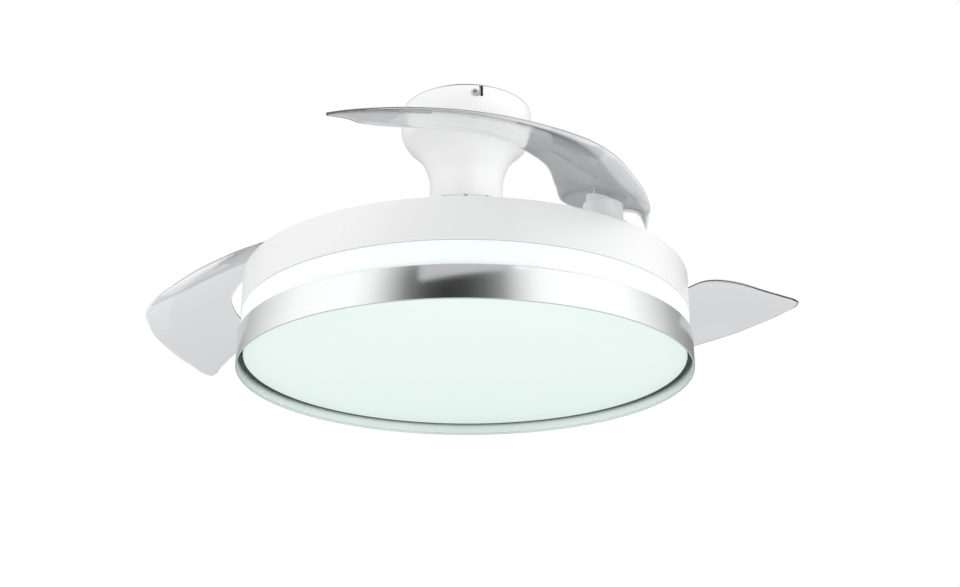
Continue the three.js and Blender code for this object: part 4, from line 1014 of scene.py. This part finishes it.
COPPER = finish(
    "enamelled_wire", BRUSHING,
    {"Colour": (0.72, 0.3, 0.12), "Shade": (0.42, 0.14, 0.05), "Lines": 1100.0, "Roughness": 0.25,
     "Spread": 0.3},
    (0.6, 0.0004), Metallic=1.0,
)
MAGNET = finish(
    "sintered_magnet", SKIN,
    {"Colour": (0.09, 0.092, 0.1), "Shade": (0.05, 0.05, 0.055), "Grain": 1500.0, "Roughness": 0.55,
     "Spread": 0.2},
    (0.3, 0.0003), Metallic=0.6,
)
LAMINATIONS = finish(
    "stacked_laminations", BRUSHING,
    {"Colour": (0.3, 0.31, 0.33), "Shade": (0.14, 0.14, 0.15), "Lines": 2000.0, "Roughness": 0.45,
     "Spread": 0.3},
    (0.5, 0.0003), Metallic=0.9,
)
BOARD = finish(
    "white_solder_mask", SKIN,
    {"Colour": (0.86, 0.86, 0.82), "Shade": (0.8, 0.8, 0.76), "Grain": 900.0, "Roughness": 0.5, "Spread": 0.15},
    (0.1, 0.0002),
)


def put(piece, material, slot, body, *nodes):
    """The piece gets its finish, rides on its body and stands for its CAD nodes."""
    piece.data.materials.clear()
    piece.data.materials.append(material)
    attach(piece, body)
    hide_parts(*nodes)


# ---------------------------------------------------------------- pieces

put(metal_ring(), SILVER, "silver", "frame", "metal_ring")
put(light_band(), BAND_OPAL, "opal", "frame", "light_band")
put(white_ring(), WHITE_PLASTIC, "white_plastic", "frame", "white_ring")
put(lamp_top_pan(), WHITE_METAL, "white_metal", "frame", "lamp_top_pan")
put(diffuser(), DIFFUSER_OPAL, "opal", "frame", "diffuser")
put(canopy(), CANOPY_PLASTIC, "white_plastic", "frame", "canopy")
put(ceiling_plate(), STEEL, "steel", "frame", "ceiling_plate")
# The motor's halves get the darker grey of painted shade.
put(motor_cap(), MOTOR_PAINTED_SHADE, "white_metal", "rotor", "motor_upper_shell")
put(motor_base(), MOTOR_PAINTED_SHADE, "white_metal", "rotor", "motor_lower_shell")
put(carrier(), CARRIER_PLASTIC, "white_plastic", "rotor", "blade_carrier")

for side in (0, 1):
    fastener = pan_head_screw(f"canopy_fastener_{side + 1}", *CANOPY_SCREW)
    placed(fastener, canopy_screw_place(side, CANOPY_HIGH.x + GAP))
    put(fastener, STEEL, "steel", "frame", f"canopy_screw_{side + 1}")

carrier_screw_places = circle_places(3, CARRIER_SCREW_CIRCLE, height=CARRIER_FOOT - GAP)
for number, body in ((1, "first_blade"), (2, "second_blade"), (3, "third_blade")):
    put(blade(number), CLEAR, "clear_plastic", body, f"blade_{number}")
    put(blade_hub(number), HUB_PLASTIC, "hub_plastic", body, f"blade_hub_{number}")
    put(hinge_pin(number), STEEL, "steel", "rotor", f"pivot_pin_{number}")
    put(coil_spring(number), STEEL, "steel", "rotor", f"return_spring_{number}")
    for end, y in ((1, -BLADE_SCREW_CIRCLE), (2, BLADE_SCREW_CIRCLE)):
        seat = blade_height(0, y) + BLADE_THICK / 2 + BLADE_CAMBER + BLADE_SCREW_ROOM
        foot = (HUB_HEIGHT - HUB_WALL) / MM + BLADE_SCREW_ROOM
        fastener = pan_head_screw(f"blade_fastener_{number}_{end}", *BLADE_SCREW, (seat - foot) * MM)
        placed(fastener, hinge(number)[1] @ Matrix.Translation((0, y * MM, seat * MM)))
        put(fastener, STEEL, "steel", body, f"blade_screw_{number}_{end}")
    fastener = pan_head_screw(f"carrier_fastener_{number}", *CARRIER_SCREW)
    placed(fastener, carrier_screw_places[number - 1] @ Matrix.Rotation(math.pi, 4, "X"))
    put(fastener, STEEL, "steel", "rotor", f"carrier_screw_{number}")

KEPT = (
    (STEEL, "hanger_yoke", "down_tube", "cross_bolt", "cross_bolt_nut", "tube_collar", "lamp_nut"),
    (STEEL, "upper_bearing_inner_race", "lower_bearing_inner_race"),
    (STEEL, "upper_bearing_outer_race", "lower_bearing_outer_race"),
    (WHITE_PLASTIC, "remote_receiver", "terminal_block", "led_driver"),
    (LAMINATIONS, "stator_core"),
    (COPPER, "stator_windings"),
    (MAGNET, "magnet_ring"),
    (ALUMINIUM, "led_tray", "tray_standoff_1", "tray_standoff_2", "tray_standoff_3"),
    (BOARD, "led_board"),
    (BLACK_PLASTIC, "diffuser_clip_1", "diffuser_clip_2", "diffuser_clip_3"),
)
for material, *names in KEPT:
    for name in names:
        kept = frame["nodes"][name].data
        kept.materials.clear()
        kept.materials.append(material)


# ---------------------------------------------------------------- studio

# Azimuth in degrees, from -Y in front of the fan towards +X, and brightness.
REFLECTED = [
    (-180, 0.24), (-150, 0.38), (-128, 0.71), (-89, 1.25), (-56, 1.32), (-45, 1.14), (-36, 0.72), (-27, 0.25),
    (-18, 0.09), (-9, 0.04), (0, 0.06), (8, 0.13), (17, 0.32), (26, 0.88), (35, 1.25), (46, 1.34), (84, 1.33),
    (104, 0.96), (124, 0.53), (145, 0.34), (180, 0.24),
]
LIGHTING = [
    (-180, 1.05), (-145, 1.1), (-108, 1.3), (-54, 1.2), (-18, 0.82), (0, 0.78), (18, 0.85), (54, 1.3),
    (108, 1.35), (145, 1.15), (180, 1.05),
]
OVERHEAD = (1.12, 1.12, 1.12, 1)
# What the clear plastic lets through: pale, and darker in a round patch of this direction.
SHADE_TOWARDS = Vector((0.075, 0.893, 0.443)).normalized()
SHADE_RIM = (0.9925, 0.9978)  # cosines at the patch's outer and inner rim
LET_THROUGH = ((0.65, 0.652, 0.66, 1), (0.29, 0.295, 0.3, 1))
WHITE = (1, 1, 1, 1)


def floor(radius=9.0, height=-1.5, segments=96, rings=24):
    """A flat round sheet: points at radius r and angle a, at one height. For the rays that see the backdrop it
    fades to white with the distance from the fan."""
    points = revolved(np.linspace(0, radius, rings), height, segments)
    sheet = tidied(grid_piece("studio_floor", points, around=True, across=False, flip=True), closed=False)
    material = bpy.data.materials.new("pale_floor")
    tree = emptied(material)
    out = add(tree, "ShaderNodeOutputMaterial")
    paint = add(tree, "ShaderNodeBsdfDiffuse", {"Color": (0.88, 0.88, 0.88, 1)})
    white = add(tree, "ShaderNodeEmission", {"Color": WHITE, "Strength": 1.0})
    *_, distance = from_axis(tree, add(tree, "ShaderNodeTexCoord").outputs["Object"])
    fade = ranged(tree, distance, 1.2, 5.0, 0.35)
    rays = add(tree, "ShaderNodeLightPath").outputs
    seen = maths(tree, "MAXIMUM", rays["Is Camera Ray"], rays["Is Glossy Ray"])
    seen = maths(tree, "MAXIMUM", seen, rays["Is Transmission Ray"])
    share = maths(tree, "MULTIPLY", fade, seen)
    both = add(tree, "ShaderNodeMixShader", {0: share, 1: paint.outputs[0], 2: white.outputs[0]})
    joined(tree, out, Surface=both.outputs[0])
    sheet.data.materials.append(material)


def azimuth_ramp(tree, share, stops):
    """Brightness by azimuth, straight between the stops. The share runs from 0 at -180 degrees to 1 at 180."""
    made = add(tree, "ShaderNodeValToRGB", {0: share})
    elements = made.color_ramp.elements
    while len(elements) < len(stops):
        elements.new(1.0)
    for element, (at, level) in zip(elements, stops):
        element.position = at / 360 + 0.5
        element.color = (level, level, level, 1)
    return made.outputs[0]


def studio():
    """The world: white for the camera. What lights the fan and what it reflects goes by the direction's
    azimuth, dim in front and bright at the sides, and evens out overhead and below."""
    world = bpy.data.worlds.new("studio")
    bpy.context.scene.world = world
    tree = emptied(world)
    out = add(tree, "ShaderNodeOutputWorld")
    direction = add(tree, "ShaderNodeTexCoord").outputs["Generated"]
    x, y, z = add(tree, "ShaderNodeSeparateXYZ", {0: direction}).outputs
    azimuth = maths(tree, "ARCTAN2", x, maths(tree, "MULTIPLY", y, -1.0))
    share = maths(tree, "MULTIPLY_ADD", azimuth, 0.5 / math.pi, 0.5)
    rays = add(tree, "ShaderNodeLightPath").outputs
    lighting, reflected = azimuth_ramp(tree, share, LIGHTING), azimuth_ramp(tree, share, REFLECTED)
    panels = mixed(tree, rays["Is Glossy Ray"], lighting, reflected)
    steep = ranged(tree, maths(tree, "ABSOLUTE", z), 0.42, 0.8)
    dome = mixed(tree, steep, panels, OVERHEAD)
    aimed = add(tree, "ShaderNodeVectorMath", {0: direction, 1: SHADE_TOWARDS}, operation="DOT_PRODUCT")
    behind = mixed(tree, ranged(tree, aimed.outputs["Value"], *SHADE_RIM), *LET_THROUGH)
    through = mixed(tree, rays["Is Transmission Ray"], dome, behind)
    seen = mixed(tree, rays["Is Camera Ray"], through, WHITE)
    sky = add(tree, "ShaderNodeBackground", {"Color": seen, "Strength": 1.0})
    joined(tree, out, Surface=sky.outputs[0])


def soft_light(name, place, target, size, power):
    """A round light that shines from its place at the target and doesn't show in reflections."""
    light = bpy.data.lights.new(name, "AREA")
    light.shape = "DISK"
    light.size = size
    light.energy = power
    holder = bpy.data.objects.new(name, light)
    holder.visible_glossy = False
    holder.location = place
    holder.rotation_euler = (Vector(target) - Vector(place)).to_track_quat("-Z", "Y").to_euler()
    bpy.context.scene.collection.objects.link(holder)


floor()
studio()
soft_light("soft_key", (1.6, -1.8, 0.9), (0, 0, -0.2), 1.6, 8.0)

camera = bpy.data.objects.new("view", bpy.data.cameras.new("view"))
camera.location = (0.0160, -1.298, LIP - 0.3964)
camera.rotation_euler = (math.radians(110.94), 0, 0)
camera.data.lens = 46.03
camera.data.sensor_width = 36
camera.data.clip_start = 0.01
bpy.context.scene.collection.objects.link(camera)
bpy.context.scene.camera = camera
bpy.context.scene.view_settings.view_transform = "Standard"
